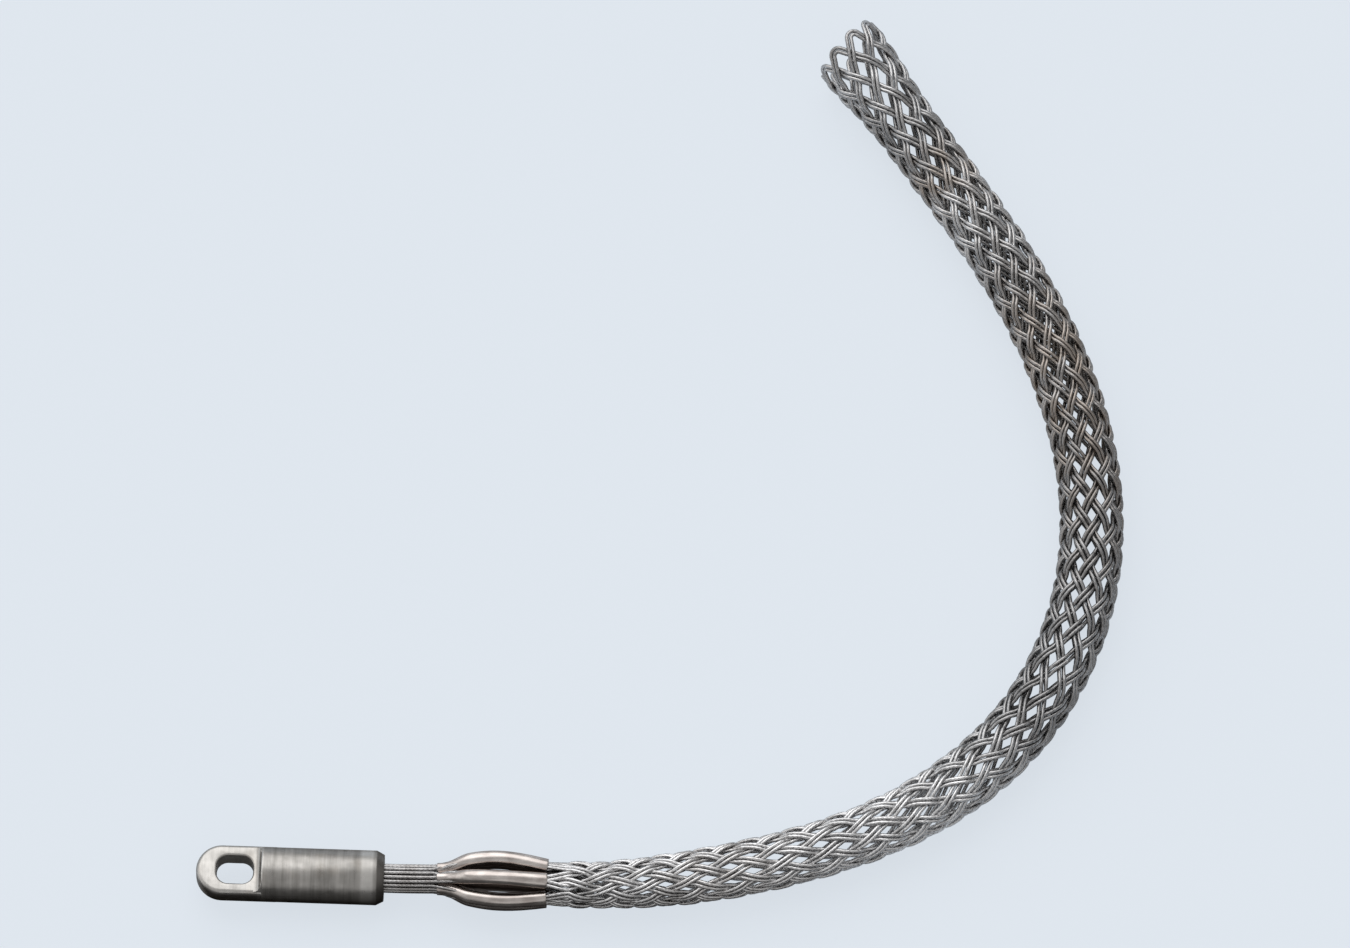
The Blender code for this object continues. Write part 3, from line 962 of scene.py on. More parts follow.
@dataclass
class WireSweep:
    """Geometry Nodes that lay round wires side by side along a strand's path."""

    wire_diameter: float = 0.0010
    wires: int = 2
    sides: int = 8
    jitter: float = 0.00018
    jitter_scale: float = 110.0
    jitter_detail: float = 1.0
    jitter_middle: Triple = (0.5, 0.5, 0.5)
    wire_shift: float = 7.3
    seed: int = 11

    def sizes(self, number: int, material: bpy.types.Material | None = None) -> dict[str, object]:
        """The tree's inputs by name.

        Args:
            number: the strand loop's number, which moves the seed on.
            material: the wires' finish.

        Returns:
            A value for each input but the geometry.
        """
        return {
            "Wire Diameter": self.wire_diameter,
            "Wires": self.wires,
            "Sides": self.sides,
            "Jitter": self.jitter,
            "Jitter Scale": self.jitter_scale,
            "Seed": self.seed + number,
            "Material": material,
        }

    def tree(self) -> bpy.types.NodeTree:
        """Build the tree: path to curve, one copy for each wire, a little unevenness, and a round sweep.

        Returns:
            The tree.
        """
        chain = NodeChain("wire_sweep")
        for name, value in self.sizes(0).items():
            chain.size(name, value)
        given = chain.inputs.outputs
        curve = chain.add("GeometryNodeMeshToCurve", Mesh=given["Geometry"])
        copies = chain.add("GeometryNodeDuplicateElements", {"domain": "SPLINE"},
                           Geometry=curve.outputs[0], Amount=given["Wires"])
        wire = copies.outputs["Duplicate Index"]
        share = chain.math("DIVIDE", wire, chain.math("SUBTRACT", given["Wires"], 1.0))
        side = chain.math("SUBTRACT", chain.math("MULTIPLY", share, 2.0), 1.0)
        spread = chain.add("GeometryNodeInputNamedAttribute", {"data_type": "FLOAT_VECTOR"}, Name="spread")
        variant = chain.math("ADD", chain.math("MULTIPLY", wire, self.wire_shift), given["Seed"])
        noise = chain.add("ShaderNodeTexNoise", {"noise_dimensions": "4D"},
                          Vector=chain.add("GeometryNodeInputPosition").outputs[0], W=variant,
                          Scale=given["Jitter Scale"], Detail=self.jitter_detail)
        centred = chain.vector_math("SUBTRACT", noise.outputs["Color"], self.jitter_middle)
        offset = chain.vector_math("ADD", chain.vector_math("SCALE", spread.outputs[0], side),
                                   chain.vector_math("SCALE", centred, given["Jitter"]))
        moved = chain.add("GeometryNodeSetPosition", Geometry=copies.outputs["Geometry"], Offset=offset)
        path, along = chain.captured(moved.outputs[0],
                                     chain.add("GeometryNodeSplineParameter").outputs["Length"])
        circle = chain.add("GeometryNodeCurvePrimitiveCircle", Resolution=given["Sides"],
                           Radius=chain.math("MULTIPLY", given["Wire Diameter"], 0.5))
        ring, turn = chain.captured(circle.outputs[0],
                                    chain.add("GeometryNodeSplineParameter").outputs["Factor"])
        swept = chain.add("GeometryNodeCurveToMesh", Curve=path, Profile_Curve=ring, Fill_Caps=True)
        angle = chain.math("MULTIPLY", turn, 2 * math.pi)
        lay = chain.add("ShaderNodeCombineXYZ", X=chain.math("COSINE", angle),
                        Y=chain.math("SINE", angle), Z=along)
        stored = chain.add("GeometryNodeStoreNamedAttribute",
                           {"data_type": "FLOAT_VECTOR", "domain": "POINT"},
                           Geometry=swept.outputs[0], Name="lay", Value=lay.outputs[0])
        smooth = chain.add("GeometryNodeSetShadeSmooth", Geometry=stored.outputs[0])
        return chain.finish(smooth.outputs[0])


@dataclass
class WovenStrands:
    """The strands: bundled in the neck, three to a sleeve, then woven over and under to the mouth."""

    form: GripForm
    finish: StrandFinish = StrandFinish()
    sweep: WireSweep = field(default_factory=WireSweep)
    socket_reach: float = 0.012
    neck_points: int = 16
    neck_share: float = 0.85
    neck_outer_radius: float = 0.0033
    neck_middle_radius: float = 0.00215
    neck_inner_radius: float = 0.00108
    neck_middle_angle: float = 15.0
    sleeved_offset: float = 0.00072
    sleeve_steps: int = 20
    sleeve_exit: float = 0.9
    join_steps: int = 8
    first_row: float = 0.5
    joined_row: float = 0.8
    samples_per_row: int = 7
    wave_sharpness: float = 1.5
    weave_play: float = 0.00002
    wire_spacing: Knots = (
        (0.000, 0.00106),
        (0.045, 0.00106),
        (0.070, 0.00110),
        (0.160, 0.00116),
        (0.190, 0.00122),
        (0.225, 0.00120),
        (0.250, 0.00108),
        (0.391, 0.00106),
    )
    skin_margin: float = 0.00014
    loop_radius: float = 0.00160
    loop_points: int = 13
    tip_row: float = 0.999
    sway: float = 1.6
    sway_lengths: tuple[float, ...] = (1.3, 2.1, 3.7)
    sway_rows_in: float = 4.0
    sway_rows_out: float = 3.0
    seed: int = 4

    def __post_init__(self) -> None:
        """Draw the slow sway of each strand from a fixed seed."""
        chance = np.random.default_rng(self.seed)
        self.sways = chance.uniform(0, 2 * math.pi, (self.form.strand_count, len(self.sway_lengths)))

    def hand(self, slot: int) -> Hand:
        """Which way the strand in a slot turns."""
        return Hand.LEFT if slot % 2 == 0 else Hand.RIGHT

    def partner(self, slot: int) -> int:
        """The strand of the other hand that a left-turning strand becomes at the mouth."""
        return (slot + 2 * self.form.mesh_rows + 1) % self.form.strand_count

    def seat(self, slot: int) -> tuple[int, int]:
        """Which sleeve a strand goes through, and its side there: -1, 0 in the middle, or 1."""
        sleeve, position = divmod(slot, self.form.strands_per_sleeve)
        return sleeve, position - 1

    def middle_radius(self, place: float) -> float:
        """Radius half way through the mesh's wall."""
        outer = self.form.mesh_outer_radius(place - self.form.mesh_start)
        return outer - self.sweep.wire_diameter - self.weave_play - self.skin_margin

    def swayed(self, slot: int, row: float) -> float:
        """Find how far a strand strays from its even helix.

        Args:
            slot: which of the eighteen strands.
            row: the row, which may lie between two rows.

        Returns:
            A small angle, none at the sleeves and at the mouth.
        """
        fade = min(row / self.sway_rows_in, (self.form.mesh_rows + 1 - row) / self.sway_rows_out, 1.0)
        waves = sum(math.sin(row / length + start)
                    for length, start in zip(self.sway_lengths, self.sways[slot]))
        return self.sway * max(fade, 0.0) * waves / len(self.sway_lengths)

    def woven(self, slot: int, row: float) -> tuple[float, float, float]:
        """Find a strand's middle at a row, over the other hand and under it by turns.

        Args:
            slot: which of the eighteen strands.
            row: the row, which may lie between two rows.

        Returns:
            Its place, radius and angle.
        """
        turn = self.hand(slot).value
        place = self.form.row_place(row)
        rise = self.sweep.wire_diameter / 2 + self.weave_play
        wave = math.tanh(self.wave_sharpness * math.cos(math.pi * row)) / math.tanh(self.wave_sharpness)
        angle = (slot - 1) * self.form.strand_step + turn * self.form.strand_step * (row - 0.5)
        angle += through(self.form.weave_turns, place - self.form.mesh_start)
        radius = self.middle_radius(place) + turn * rise * wave
        place = self.form.mesh_start + self.form.slanted(place - self.form.mesh_start, angle)
        return place, radius, angle + self.swayed(slot, row)

    def bundled(self, slot: int, place: float) -> list[tuple[float, float, float]]:
        """Find a strand's two wires in the neck, one in the outer ring and one within it.

        Args:
            slot: which of the eighteen strands.
            place: where in the neck.

        Returns:
            The place, radius and angle of each wire.
        """
        sleeve, side = self.seat(slot)
        middle = self.form.sleeve_angle(sleeve)
        inner = (self.neck_middle_radius, middle + side * self.neck_middle_angle)
        if side == 0:
            inner = (self.neck_inner_radius, middle)
        return [(place, self.neck_outer_radius, middle + side * self.form.strand_step), (place, *inner)]

    def sleeved(self, slot: int, distance: float) -> tuple[float, float, float]:
        """Find a strand's middle inside its sleeve, where the three strands lie in a triangle.

        Args:
            slot: which of the eighteen strands.
            distance: how far it is from the sleeve's neck end.

        Returns:
            Its place, radius and angle.
        """
        sleeve, side = self.seat(slot)
        radius = self.form.sleeve_ring_radius(distance) + self.sleeved_offset * (0.5 if side else -1.0)
        sideways = side * self.sleeved_offset * math.sqrt(3) / 2
        angle = self.form.sleeve_angle(sleeve) + math.degrees(sideways / radius)
        return self.form.neck_length + distance, radius, angle

    def half_path(self, slot: int) -> list[tuple[Vector, Vector | None]]:
        """Path of one strand from the socket to the last row.

        Args:
            slot: which of the eighteen strands.

        Returns:
            Each point with half the step between its two wires, or None where that follows the mesh.
        """
        form = self.form
        points: list[tuple[Vector, Vector | None]] = []
        for share in np.linspace(0, 1, self.neck_points):
            place = -self.socket_reach + share * (self.socket_reach + form.neck_length * self.neck_share)
            first, second = (form.point(*spot)[0] for spot in self.bundled(slot, place))
            points.append(((first + second) / 2, (first - second) / 2))
        spots = [self.sleeved(slot, form.sleeve_length * step / self.sleeve_steps)
                 for step in range(1, self.sleeve_steps)]
        joins = [self.sleeved(slot, form.sleeve_length * self.sleeve_exit),
                 self.sleeved(slot, form.sleeve_length),
                 self.woven(slot, self.first_row), self.woven(slot, self.joined_row)]
        start, end = joins[1][0], joins[2][0]
        radii, angles = (tuple((spot[0], spot[index]) for spot in joins) for index in (1, 2))
        for step in range(self.join_steps):
            place = start + (end - start) * step / self.join_steps
            spots.append((place, through(radii, place), through(angles, place)))
        for index in range(form.mesh_rows * self.samples_per_row - self.samples_per_row // 2 + 1):
            row = min(self.first_row + index / self.samples_per_row, form.mesh_rows)
            spots.append(self.woven(slot, row))
        return points + [(form.point(*spot)[0], None) for spot in spots]

    def mouth_turn(self, slot: int) -> list[tuple[Vector, None]]:
        """Path of the rounded tip where a strand turns back at the mouth.

        Args:
            slot: which of the eighteen strands.

        Returns:
            Each point, with None for a step that follows the mesh.
        """
        form = self.form
        last = self.woven(slot, form.mesh_rows)
        tip = self.woven(slot, form.mesh_rows + self.tip_row)
        middle = self.middle_radius(form.mesh_start + form.mesh_length)
        slant = math.atan2(middle * math.radians(form.strand_step), tip[0] - last[0])
        centre = tip[0] - self.loop_radius / math.sin(slant)
        turned = []
        for step in np.linspace(-1, 1, self.loop_points):
            turn = step * (math.pi / 2 - slant)
            angle = tip[2] + math.degrees(self.loop_radius * math.sin(turn) / middle)
            place = centre + self.loop_radius * math.cos(turn)
            turned.append((form.point(place, middle, angle)[0], None))
        return turned

    def loop(self, number: int, slot: int, tree: bpy.types.NodeTree,
             material: bpy.types.Material) -> bpy.types.Object:
        """Make one strand loop: two wires out along the mesh, round the mouth and back.

        Args:
            number: the loop's number, from 1.
            slot: its left-turning strand.
            tree: the nodes that sweep the wires.
            material: the wires' finish.

        Returns:
            The finished piece.
        """
        path = self.half_path(slot) + self.mouth_turn(slot) + self.half_path(self.partner(slot))[::-1]
        spots = [point for point, _ in path]
        spreads = []
        for index, (point, spread) in enumerate(path):
            if spread is None:
                step = self.nearest_step(point)
                spacing = through(self.wire_spacing, step * self.form.step)
                spread = self.across(spots, index, self.centre(step)) * (spacing / 2)
            spreads.append(spread)
        mesh = bpy.data.meshes.new(f"strand_path_{number}")
        mesh.from_pydata(spots, [(index, index + 1) for index in range(len(spots) - 1)], [])
        stored = mesh.attributes.new("spread", "FLOAT_VECTOR", "POINT")
        stored.data.foreach_set("vector", np.array(spreads, dtype=np.float32).ravel())
        piece = placed(mesh, mesh.name)
        swept = piece.modifiers.new("wires", "NODES")
        swept.node_group = tree
        values = self.sweep.sizes(number, material)
        for item in tree.interface.items_tree:
            if item.in_out == "INPUT" and item.name in values:
                swept[item.identifier] = values[item.name]
        return settled(piece, f"wire_loop_{number}")

    def across(self, spots: list[Vector], index: int, centre: Vector) -> Vector:
        """Find the direction that a strand's two wires are spread along.

        Args:
            spots: the strand's path.
            index: where on it.
            centre: the centre line's point nearest to there.

        Returns:
            The direction across the strand, in the mesh's surface.
        """
        before, after = neighbours(spots, index)
        outward = spots[index] - centre
        return (after - before).cross(outward).normalized()

    def nearest_step(self, spot: Vector) -> int:
        """Find which step of the centre line is nearest to a spot, seen from above.

        Args:
            spot: the spot.

        Returns:
            The step's number.
        """
        start = self.form.mouth_of_socket
        flat = np.array(self.form.track)
        distances = (flat[:, 0] + start.x - spot.x) ** 2 + (flat[:, 1] + start.y - spot.y) ** 2
        return int(distances.argmin())

    def centre(self, step: int) -> Vector:
        """Find the centre line's point at a step.

        Args:
            step: the step's number.

        Returns:
            The point.
        """
        start = self.form.mouth_of_socket
        x, y = self.form.track[step]
        return Vector((x + start.x, y + start.y, self.form.axis_height(step * self.form.step)))

    def build(self) -> list[bpy.types.Object]:
        """Build and dress every strand loop.

        Returns:
            The pieces.
        """
        tree = self.sweep.tree()
        material = self.finish.material()
        pieces = []
        for number, slot in enumerate(range(0, self.form.strand_count, 2), start=1):
            piece = self.loop(number, slot, tree, material)
            ShadeAndTarnish(self.form).apply(piece)
            dress(piece, f"strand_loop_{number}")
            pieces.append(piece)
        return pieces


def dress(piece: bpy.types.Object, node: str) -> None:
    """Fix a finished piece to the grip's body.

    Args:
        piece: the finished piece.
        node: the CAD node it stands for.
    """
    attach(piece, BODY)
    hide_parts(node)
    LOG.info("%s: %d faces", piece.name, len(piece.data.polygons))


def lofted(rings: list[list[Vector]], capped: bool) -> bmesh.types.BMesh:
    """Join rings of points into a skin.

    Args:
        rings: closed rings with as many points each.
        capped: whether the first and last ring are filled.

    Returns:
        The skin, facing outwards.
    """
    builder = bmesh.new()
    made = [[builder.verts.new(point) for point in ring] for ring in rings]
    for near, far in zip(made, made[1:]):
        for index in range(len(near)):
            after = (index + 1) % len(near)
            builder.faces.new((near[index], near[after], far[after], far[index]))
    if capped:
        builder.faces.new(made[0])
        builder.faces.new(made[-1])
    bmesh.ops.recalc_face_normals(builder, faces=builder.faces)
    return builder


def object_from(builder: bmesh.types.BMesh, name: str) -> bpy.types.Object:
    """Put a skin in the scene as a new object.

    Args:
        builder: the skin, which is freed.
        name: the object's name.

    Returns:
        The object.
    """
    mesh = bpy.data.meshes.new(name)
    builder.to_mesh(mesh)
    builder.free()
    return placed(mesh, name)


def finished(piece: bpy.types.Object, crease: float) -> None:
    """Shade a piece smooth apart from its edges.

    Args:
        piece: the piece, a plain mesh.
        crease: the angle past which an edge stays sharp.
    """
    piece.data.shade_smooth()
    piece.data.set_sharp_from_angle(angle=math.radians(crease))


@dataclass
class Sleeves:
    """Six drawn tubes over the strands, squeezed at the neck, bulging, and cut square at the mesh."""

    form: GripForm
    finish: SleeveFinish = SleeveFinish()
    sides: int = 40
    rings: int = 60
    wall: float = 0.0003
    edge_share: float = 0.3
    edge_steps: int = 2
    crease: float = 50.0
    skin_margin: float = 0.00002
    tip_reach: float = 0.0012
    tip_ring_radius: float = 0.00265
    tip_half_height: float = 0.00175
    tip_half_width: float = 0.00140
    swell_length: float = 0.0085
    end_half_width: float = 0.00215
    end_half_height: float = 0.00190

    def section(self, distance: float) -> tuple[float, float, float]:
        """Find a sleeve's size at a distance from its neck end.

        Args:
            distance: the distance, below 0 in the squeezed tip.

        Returns:
            Distance of the sleeve's centre from the line, its half height and its half width.
        """
        share = (distance + self.tip_reach) / self.swell_length
        ring = eased(self.tip_ring_radius, self.form.sleeve_ring_radius(max(distance, 0.0)), share)
        radius = self.form.sleeve_radius - self.skin_margin
        height = eased(self.tip_half_height, radius, share)
        width = eased(self.tip_half_width, radius, share)
        late = (distance - self.form.bulge_place) / (self.form.sleeve_length - self.form.bulge_place)
        height = eased(height, self.end_half_height, late)
        width = eased(width, self.end_half_width, late)
        return ring, height, width

    def sleeve(self, number: int, material: bpy.types.Material) -> bpy.types.Object:
        """Make one sleeve with its wall and its eased edges.

        Args:
            number: the sleeve's number, from 1.
            material: its finish.

        Returns:
            The finished piece.
        """
        form = self.form
        spots, sizes = [], []
        for share in np.linspace(0, 1, self.rings):
            distance = -self.tip_reach + share * (form.sleeve_length + self.tip_reach)
            ring, height, width = self.section(distance)
            spots.append(form.point(form.neck_length + distance, ring, form.sleeve_angle(number - 1)))
            sizes.append((height, width))
        centres = [centre for centre, _ in spots]
        turns = [2 * math.pi * side / self.sides for side in range(self.sides)]
        rings = []
        for index, ((centre, outward), (height, width)) in enumerate(zip(spots, sizes)):
            before, after = neighbours(centres, index)
            across = (after - before).cross(outward).normalized()
            up = across.cross(after - before).normalized()
            rings.append([centre + up * math.cos(turn) * height + across * math.sin(turn) * width
                          for turn in turns])
        piece = object_from(lofted(rings, capped=False), f"sleeve_skin_{number}")
        piece.data.materials.append(material)
        walled = piece.modifiers.new("wall", "SOLIDIFY")
        walled.thickness = self.wall
        walled.offset = -1.0
        edges = piece.modifiers.new("edges", "BEVEL")
        edges.width = self.wall * self.edge_share
        edges.segments = self.edge_steps
        edges.limit_method = "ANGLE"
        edges.angle_limit = math.radians(self.crease)
        return settled(piece, f"drawn_sleeve_{number}")

    def build(self) -> list[bpy.types.Object]:
        """Build and dress every sleeve.

        Returns:
            The pieces.
        """
        material = self.finish.material()
        pieces = []
        for number in range(1, self.form.sleeve_count + 1):
            piece = self.sleeve(number, material)
            finished(piece, self.crease)
            ShadeAndTarnish(self.form).apply(piece)
            dress(piece, f"strand_sleeve_{number}")
            pieces.append(piece)
        return pieces


@dataclass
class PullingEye:
    """The eye: a turned body with a blind socket, a shoulder, and a flat plate with a slot.

    The needle radius, sink, insets and overlaps are small amounts that keep the joined solids closed.
    """

    form: GripForm
    finish: EyeFinish = EyeFinish()
    length: float = 0.0487
    body_length: float = 0.0319
    socket_depth: float = 0.020
    socket_radius: float = 0.0039
    socket_cone: float = 0.001
    socket_lip: float = 0.0003
    mouth_chamfer: tuple[float, float] = (0.0019, 0.0010)
    chamfer_edge: float = 0.0001
    needle_radius: float = 0.00002
    shoulder_round: float = 0.0006
    shoulder_fillet: float = 0.0018
    fillet_inset: float = 0.0002
    fillet_sink: float = 0.00002
    fillet_overlap: float = 0.003
    fillet_steps: int = 10
    fillet_sides: int = 16
    plate_width: float = 0.0136
    plate_thickness: float = 0.0065
    plate_round: float = 0.0013
    plate_overlap: float = 0.004
    tip_steps: int = 48
    slot_length: float = 0.0095
    slot_width: float = 0.0076
    slot_corner: float = 0.0030
    slot_round: float = 0.0006
    slot_to_shoulder: float = 0.0002
    corner_steps: int = 12
    turning_sides: int = 128
    arc_steps: int = 5
    crease: float = 32.0

    def body(self) -> bpy.types.Object:
        """Turn the body with its socket and its chamfered mouth round the eye's axis.

        Returns:
            A closed mesh.
        """
        radius = self.form.body_radius
        along, depth = self.mouth_chamfer
        edge = self.chamfer_edge
        back = -self.body_length
        centre = (radius - self.shoulder_round, back + self.shoulder_round)
        profile = [
            (self.needle_radius, -self.socket_depth),
            (self.socket_radius, -self.socket_depth + self.socket_cone),
            (self.socket_radius, -self.socket_lip),
            (self.socket_radius + self.socket_lip, 0.0),
            (radius - depth - edge, 0.0),
            (radius - depth, -edge),
            (radius - edge, -along + edge),
            (radius, -along - edge),
        ]
        for step in range(self.arc_steps + 1):
            turn = math.radians(-90 * step / self.arc_steps)
            profile.append((centre[0] + self.shoulder_round * math.cos(turn),
                            centre[1] + self.shoulder_round * math.sin(turn)))
        profile.append((self.needle_radius, back))
        turns = [2 * math.pi * side / self.turning_sides for side in range(self.turning_sides)]
        start = self.form.socket_centre
        rings = [[start + Vector((place, away * math.cos(turn), away * math.sin(turn))) for turn in turns]
                 for away, place in profile]
        return object_from(lofted(rings, capped=True), "eye_body")

    def plate_outline(self, offset: float) -> list[tuple[float, float]]:
        """Draw the plate's outline seen from above.

        Args:
            offset: how far it is drawn in.

        Returns:
            Points as places and sideways distances.
        """
        half = self.plate_width / 2 - offset
        tip = -self.length + self.plate_width / 2
        root = -self.body_length + self.plate_overlap
        points = [(root, -half), (root, half)]
        for step in range(self.tip_steps + 1):
            turn = math.pi / 2 + math.pi * step / self.tip_steps
            points.append((tip + half * math.cos(turn), half * math.sin(turn)))
        return points

    def slot_outline(self, offset: float) -> list[tuple[float, float]]:
        """Draw the slot's outline seen from above.

        Args:
            offset: how far it is let out.

        Returns:
            Points as places and sideways distances.
        """
        end = -self.body_length - self.shoulder_fillet - self.slot_to_shoulder
        inset = self.slot_corner
        points = []
        for x, y, start in (
            (end - inset, self.slot_width / 2 - inset, 0),
            (end - self.slot_length + inset, self.slot_width / 2 - inset, 90),
            (end - self.slot_length + inset, inset - self.slot_width / 2, 180),
            (end - inset, inset - self.slot_width / 2, 270),
        ):
            for step in range(self.corner_steps + 1):
                turn = math.radians(start + 90 * step / self.corner_steps)
                points.append((x + (inset + offset) * math.cos(turn), y + (inset + offset) * math.sin(turn)))
        return points

    def layered(self, name: str, outline: Callable[[float], list[tuple[float, float]]], ease: float,
                proud: bool = False) -> bpy.types.Object:
        """Stack an outline from the plate's lower face to its upper one, with a round at each.

        Args:
            name: the new object's name.
            outline: gives the outline for an offset.
            ease: radius of the rounds.
            proud: whether the stack goes on past both faces, so that it can cut them.

        Returns:
            A closed mesh.
        """
        half = self.plate_thickness / 2
        layers = [(-half - ease, outline(ease))] if proud else []
        for step in range(self.arc_steps + 1):
            turn = math.pi / 2 * step / self.arc_steps
            layers.append((-half + ease - ease * math.cos(turn), outline(ease - ease * math.sin(turn))))
        layers += [(-height, points) for height, points in reversed(layers)]
        start = self.form.socket_centre
        rings = [[start + Vector((x, y, height)) for x, y in points] for height, points in layers]
        return object_from(lofted(rings, capped=True), name)

    def fillet(self) -> bpy.types.Object:
        """Make the concave rise from the plate to the shoulder, narrowed to stay inside the body's round.

        Returns:
            A closed mesh.
        """
        half, radius = self.plate_thickness / 2, self.shoulder_fillet
        reach = self.form.body_radius - self.fillet_inset
        front = -self.body_length - radius
        rings = []
        for step in range(self.fillet_steps + 1):
            turn = math.pi / 2 * step / self.fillet_steps
            place = front + radius * math.sin(turn)
            height = half + radius * (1 - math.cos(turn)) - self.fillet_sink
            corner = math.asin(min(height / reach, 1.0))
            angles = [middle - corner + 2 * corner * side / self.fillet_sides
                      for middle in (0.0, math.pi) for side in range(self.fillet_sides + 1)]
            rings.append([(place, reach * math.cos(angle), reach * math.sin(angle)) for angle in angles])
        rings.append([(x + self.fillet_overlap, y, z) for x, y, z in rings[-1]])
        start = self.form.socket_centre
        return object_from(lofted([[start + Vector(point) for point in ring] for ring in rings], capped=True),
                           "eye_fillet")

    def build(self) -> list[bpy.types.Object]:
        """Join the body, the fillet and the plate, cut the slot, and dress the eye.

        Returns:
            The one piece, in a list.
        """
        whole = self.body()
        helpers = [
            ("UNION", self.fillet()),
            ("UNION", self.layered("eye_plate", self.plate_outline, self.plate_round)),
            ("DIFFERENCE", self.layered("eye_slot", self.slot_outline, self.slot_round, proud=True)),
        ]
        for operation, helper in helpers:
            joined = whole.modifiers.new(operation.lower(), "BOOLEAN")
            joined.operation = operation
            joined.object = helper
            joined.solver = "EXACT"
        piece = settled(whole, "forged_eye")
        for _, helper in helpers:
            bpy.data.objects.remove(helper)
        piece.data.materials.clear()
        piece.data.materials.append(self.finish.material(self.form.mouth_of_socket.x))
        finished(piece, self.crease)
        ShadeAndTarnish(self.form).apply(piece)
        dress(piece, "pulling_eye")
        return [piece]


@dataclass(frozen=True)
class SoftBox:
    """A soft patch of light in the sky round the grip."""

    azimuth: float
    elevation: float
    half_angle: float
    strength: float

    @property
    def direction(self) -> Vector:
        """Direction the patch stands in, azimuth counted from +X towards +Y."""
        turn, lift = math.radians(self.azimuth), math.radians(self.elevation)
        return Vector((math.cos(turn) * math.cos(lift), math.sin(turn) * math.cos(lift), math.sin(lift)))


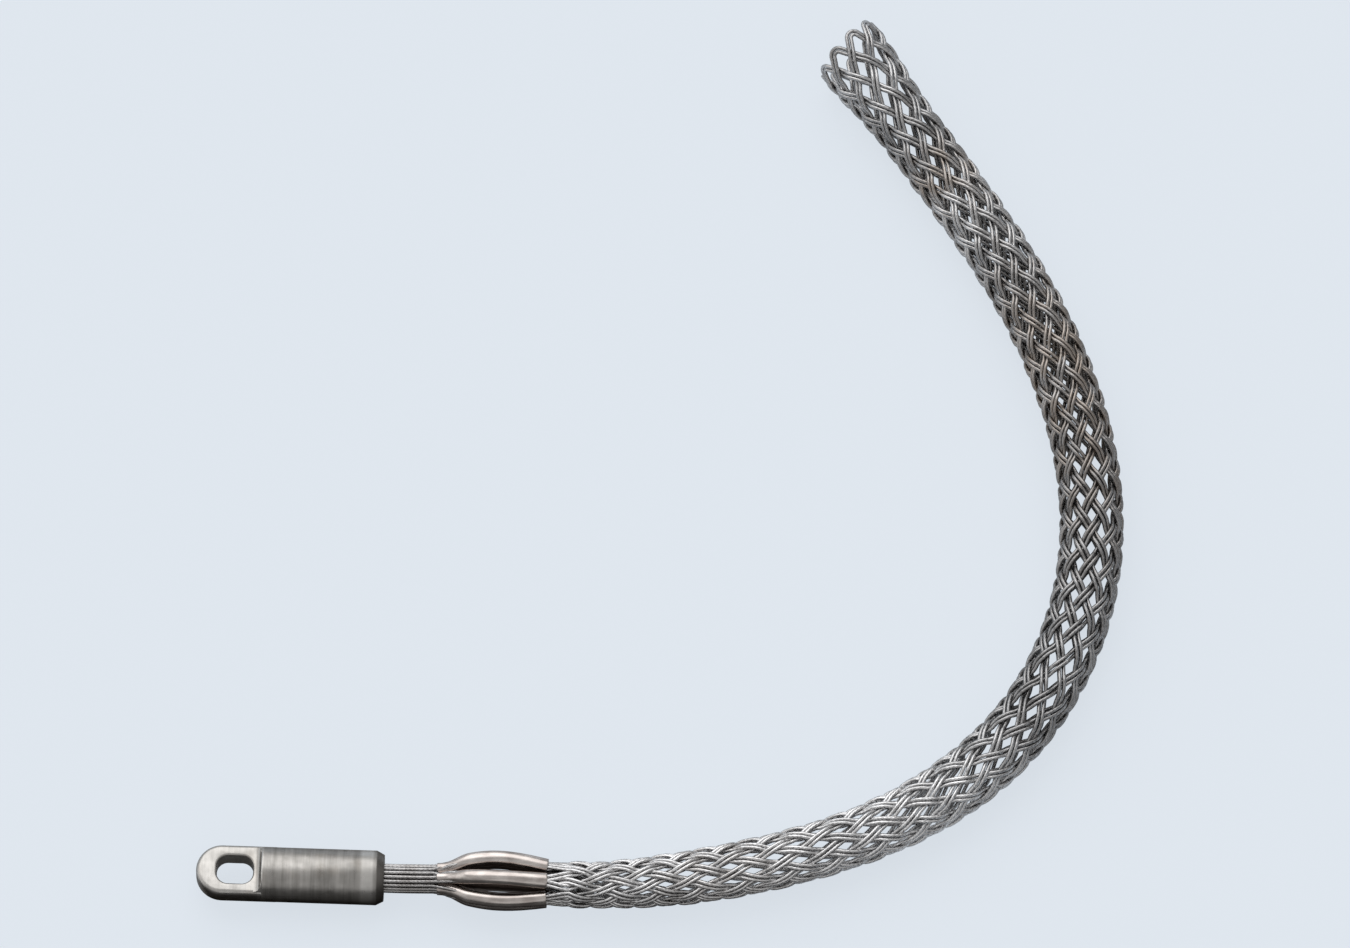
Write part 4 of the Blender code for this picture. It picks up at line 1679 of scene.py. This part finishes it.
@dataclass
class Studio:
    """A plain pale floor, a dark card for reflections, soft light, and the photograph's camera."""

    form: GripForm
    floor_colour: Colour = (0.745, 0.800, 0.863)
    floor_size: float = 8.0
    floor_drop: float = 0.00005
    floor_roughness: float = 0.9
    floor_glow: float = 0.86
    floor_mirror_glow: float = 0.12
    sweep: Ramp = Ramp(0.05, 0.10, 1.0, 0.0)
    card_inset: float = 0.002
    card_depth: float = 0.50
    card_drop: float = 0.0002
    card_lift: float = 0.12
    card_width: float = 0.90
    card_colour: Colour = (0.11, 0.11, 0.11)
    card_roughness: float = 1.0
    sky: Ramp = Ramp(0.0, 0.9, 0.24, 0.62)
    boxes: tuple[SoftBox, ...] = (
        SoftBox(108.0, 46.0, 38.0, 1.00),
        SoftBox(180.0, 16.0, 26.0, 0.80),
        SoftBox(275.0, 27.0, 16.0, 0.35),
    )
    box_edges: tuple[float, float] = (1.3, 0.6)
    key: SoftBox = SoftBox(105.0, 50.0, 30.0, 0.45)
    pixel: float = 0.00026
    image: tuple[int, int] = (1350, 948)
    socket_pixel: tuple[float, float] = (385.3, 876.6)
    elevation: float = 69.3
    turn: float = 2.0
    lens: float = 1000.0
    sensor: float = 36.0
    clip_reach: float = 4.0

    def paper(self, name: str, colour: Colour, roughness: float) -> ShaderTree:
        """Start a matt paper of one colour.

        Args:
            name: the material's name.
            colour: the paper's colour.
            roughness: how matt it is.

        Returns:
            The material under construction.
        """
        tree = ShaderTree(name)
        tree.dressed(Base_Color=colour, Roughness=roughness, Specular_IOR_Level=0.0)
        return tree

    def floor(self) -> None:
        """Make the floor, which takes the grip's shadow but looks paler than its light makes it."""
        builder = bmesh.new()
        bmesh.ops.create_grid(builder, x_segments=1, y_segments=1, size=self.floor_size / 2)
        floor = object_from(builder, "floor")
        floor.location.z = -self.floor_drop
        tree = self.paper("floor_paper", self.floor_colour, self.floor_roughness)
        rays = tree.add("ShaderNodeLightPath").outputs
        seen = tree.math("MULTIPLY", rays["Is Camera Ray"], self.floor_glow)
        mirrored = tree.math("MAXIMUM", rays["Is Glossy Ray"], rays["Is Transmission Ray"])
        mirrored = tree.math("MULTIPLY", mirrored, self.floor_mirror_glow)
        glow = tree.add("ShaderNodeEmission", Color=self.floor_colour)
        tree.joined(tree.math("MAXIMUM", seen, mirrored), tree.shader, glow, "Material Output")
        floor.data.materials.append(tree.material)
        floor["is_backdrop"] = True

    def card(self) -> None:
        """Lean a dark card along the near side, which only the metal's reflections meet, as a painted dark
        reflection standing in for shade on the floor.
        """
        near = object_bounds()[0][1] + self.card_inset
        far = near - self.card_depth
        half = self.card_width / 2
        builder = bmesh.new()
        corners = ((-half, near, self.card_drop), (half, near, self.card_drop),
                   (half, far, self.card_lift), (-half, far, self.card_lift))
        builder.faces.new([builder.verts.new(corner) for corner in corners])
        card = object_from(builder, "dark_card")
        tree = self.paper("dark_card_paper", self.card_colour, self.card_roughness)
        card.data.materials.append(tree.material)
        # painted dark reflection: hidden from the camera, from diffuse light and from shadows
        card.visible_camera = card.visible_diffuse = card.visible_shadow = False
        card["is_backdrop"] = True

    def world(self) -> None:
        """Light the room with a dim sky and a few soft boxes, above a pale sweep from the floor on."""
        world = bpy.data.worlds.new("studio")
        bpy.context.scene.world = world
        world.use_nodes = True
        tree = NodeWork(world.node_tree)
        direction = tree.add("ShaderNodeTexCoord").outputs["Generated"]
        height = tree.vector_math("DOT_PRODUCT", direction, UP)
        total = tree.ramp(height, self.sky)
        for box in self.boxes:
            outer, inner = (math.cos(math.radians(box.half_angle * edge)) for edge in self.box_edges)
            facing = tree.vector_math("DOT_PRODUCT", direction, box.direction)
            total = tree.math("ADD", total, tree.ramp(facing, Ramp(outer, inner, 0.0, box.strength)))
        sky = tree.tree.nodes["Background"]
        tree.feed(sky.inputs["Color"], WHITE)
        tree.feed(sky.inputs["Strength"], total)
        pale = tree.add("ShaderNodeBackground", Color=self.floor_colour)
        tree.joined(tree.ramp(height, self.sweep), sky, pale, "World Output")

    def lamp(self) -> None:
        """Add the far, wide lamp that gives the light its direction."""
        light = bpy.data.lights.new("key", "SUN")
        light.energy = self.key.strength
        light.angle = math.radians(2 * self.key.half_angle)
        lamp = placed(light, "key")
        lamp.rotation_mode = "QUATERNION"
        lamp.rotation_quaternion = self.key.direction.to_track_quat("Z", "Y")

    def camera(self) -> None:
        """Stand the camera where the photograph was taken from."""
        turn, lift = math.radians(self.turn), math.radians(self.elevation)
        right = Vector((math.cos(turn), math.sin(turn), 0))
        away = Vector((-math.sin(turn), math.cos(turn), 0))
        back = -away * math.cos(lift) + UP * math.sin(lift)
        across = (self.image[0] / 2 - self.socket_pixel[0]) * self.pixel
        upwards = (self.socket_pixel[1] - self.image[1] / 2) * self.pixel / math.sin(lift)
        target = self.form.socket_centre + right * across + away * upwards
        camera = bpy.data.cameras.new("camera")
        camera.lens = self.lens
        camera.sensor_width = self.sensor
        distance = self.image[0] * self.pixel * self.lens / self.sensor
        camera.clip_end = self.clip_reach * distance
        stand = placed(camera, "camera")
        facing = Matrix((right, back.cross(right), back)).transposed()
        stand.matrix_world = Matrix.Translation(target + back * distance) @ facing.to_4x4()
        bpy.context.scene.camera = stand

    def build(self) -> None:
        """Set the whole studio."""
        self.floor()
        self.card()
        self.world()
        self.lamp()
        self.camera()
        bpy.context.scene.view_settings.view_transform = "Standard"


def main() -> None:
    """Build the grip's pieces and the studio."""
    logging.basicConfig(level=logging.INFO, format="%(name)s %(message)s")
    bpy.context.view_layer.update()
    eye_low, eye_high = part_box("pulling_eye")
    mouth = Vector((eye_high[0], (eye_low[1] + eye_high[1]) / 2, eye_low[2]))
    form = GripForm(mouth_of_socket=mouth)
    pieces = PullingEye(form).build()
    pieces += Sleeves(form).build()
    pieces += WovenStrands(form).build()
    Studio(form).build()
    LOG.info("%d pieces, %d faces", len(pieces), sum(len(piece.data.polygons) for piece in pieces))


if __name__ == "__main__":
    main()
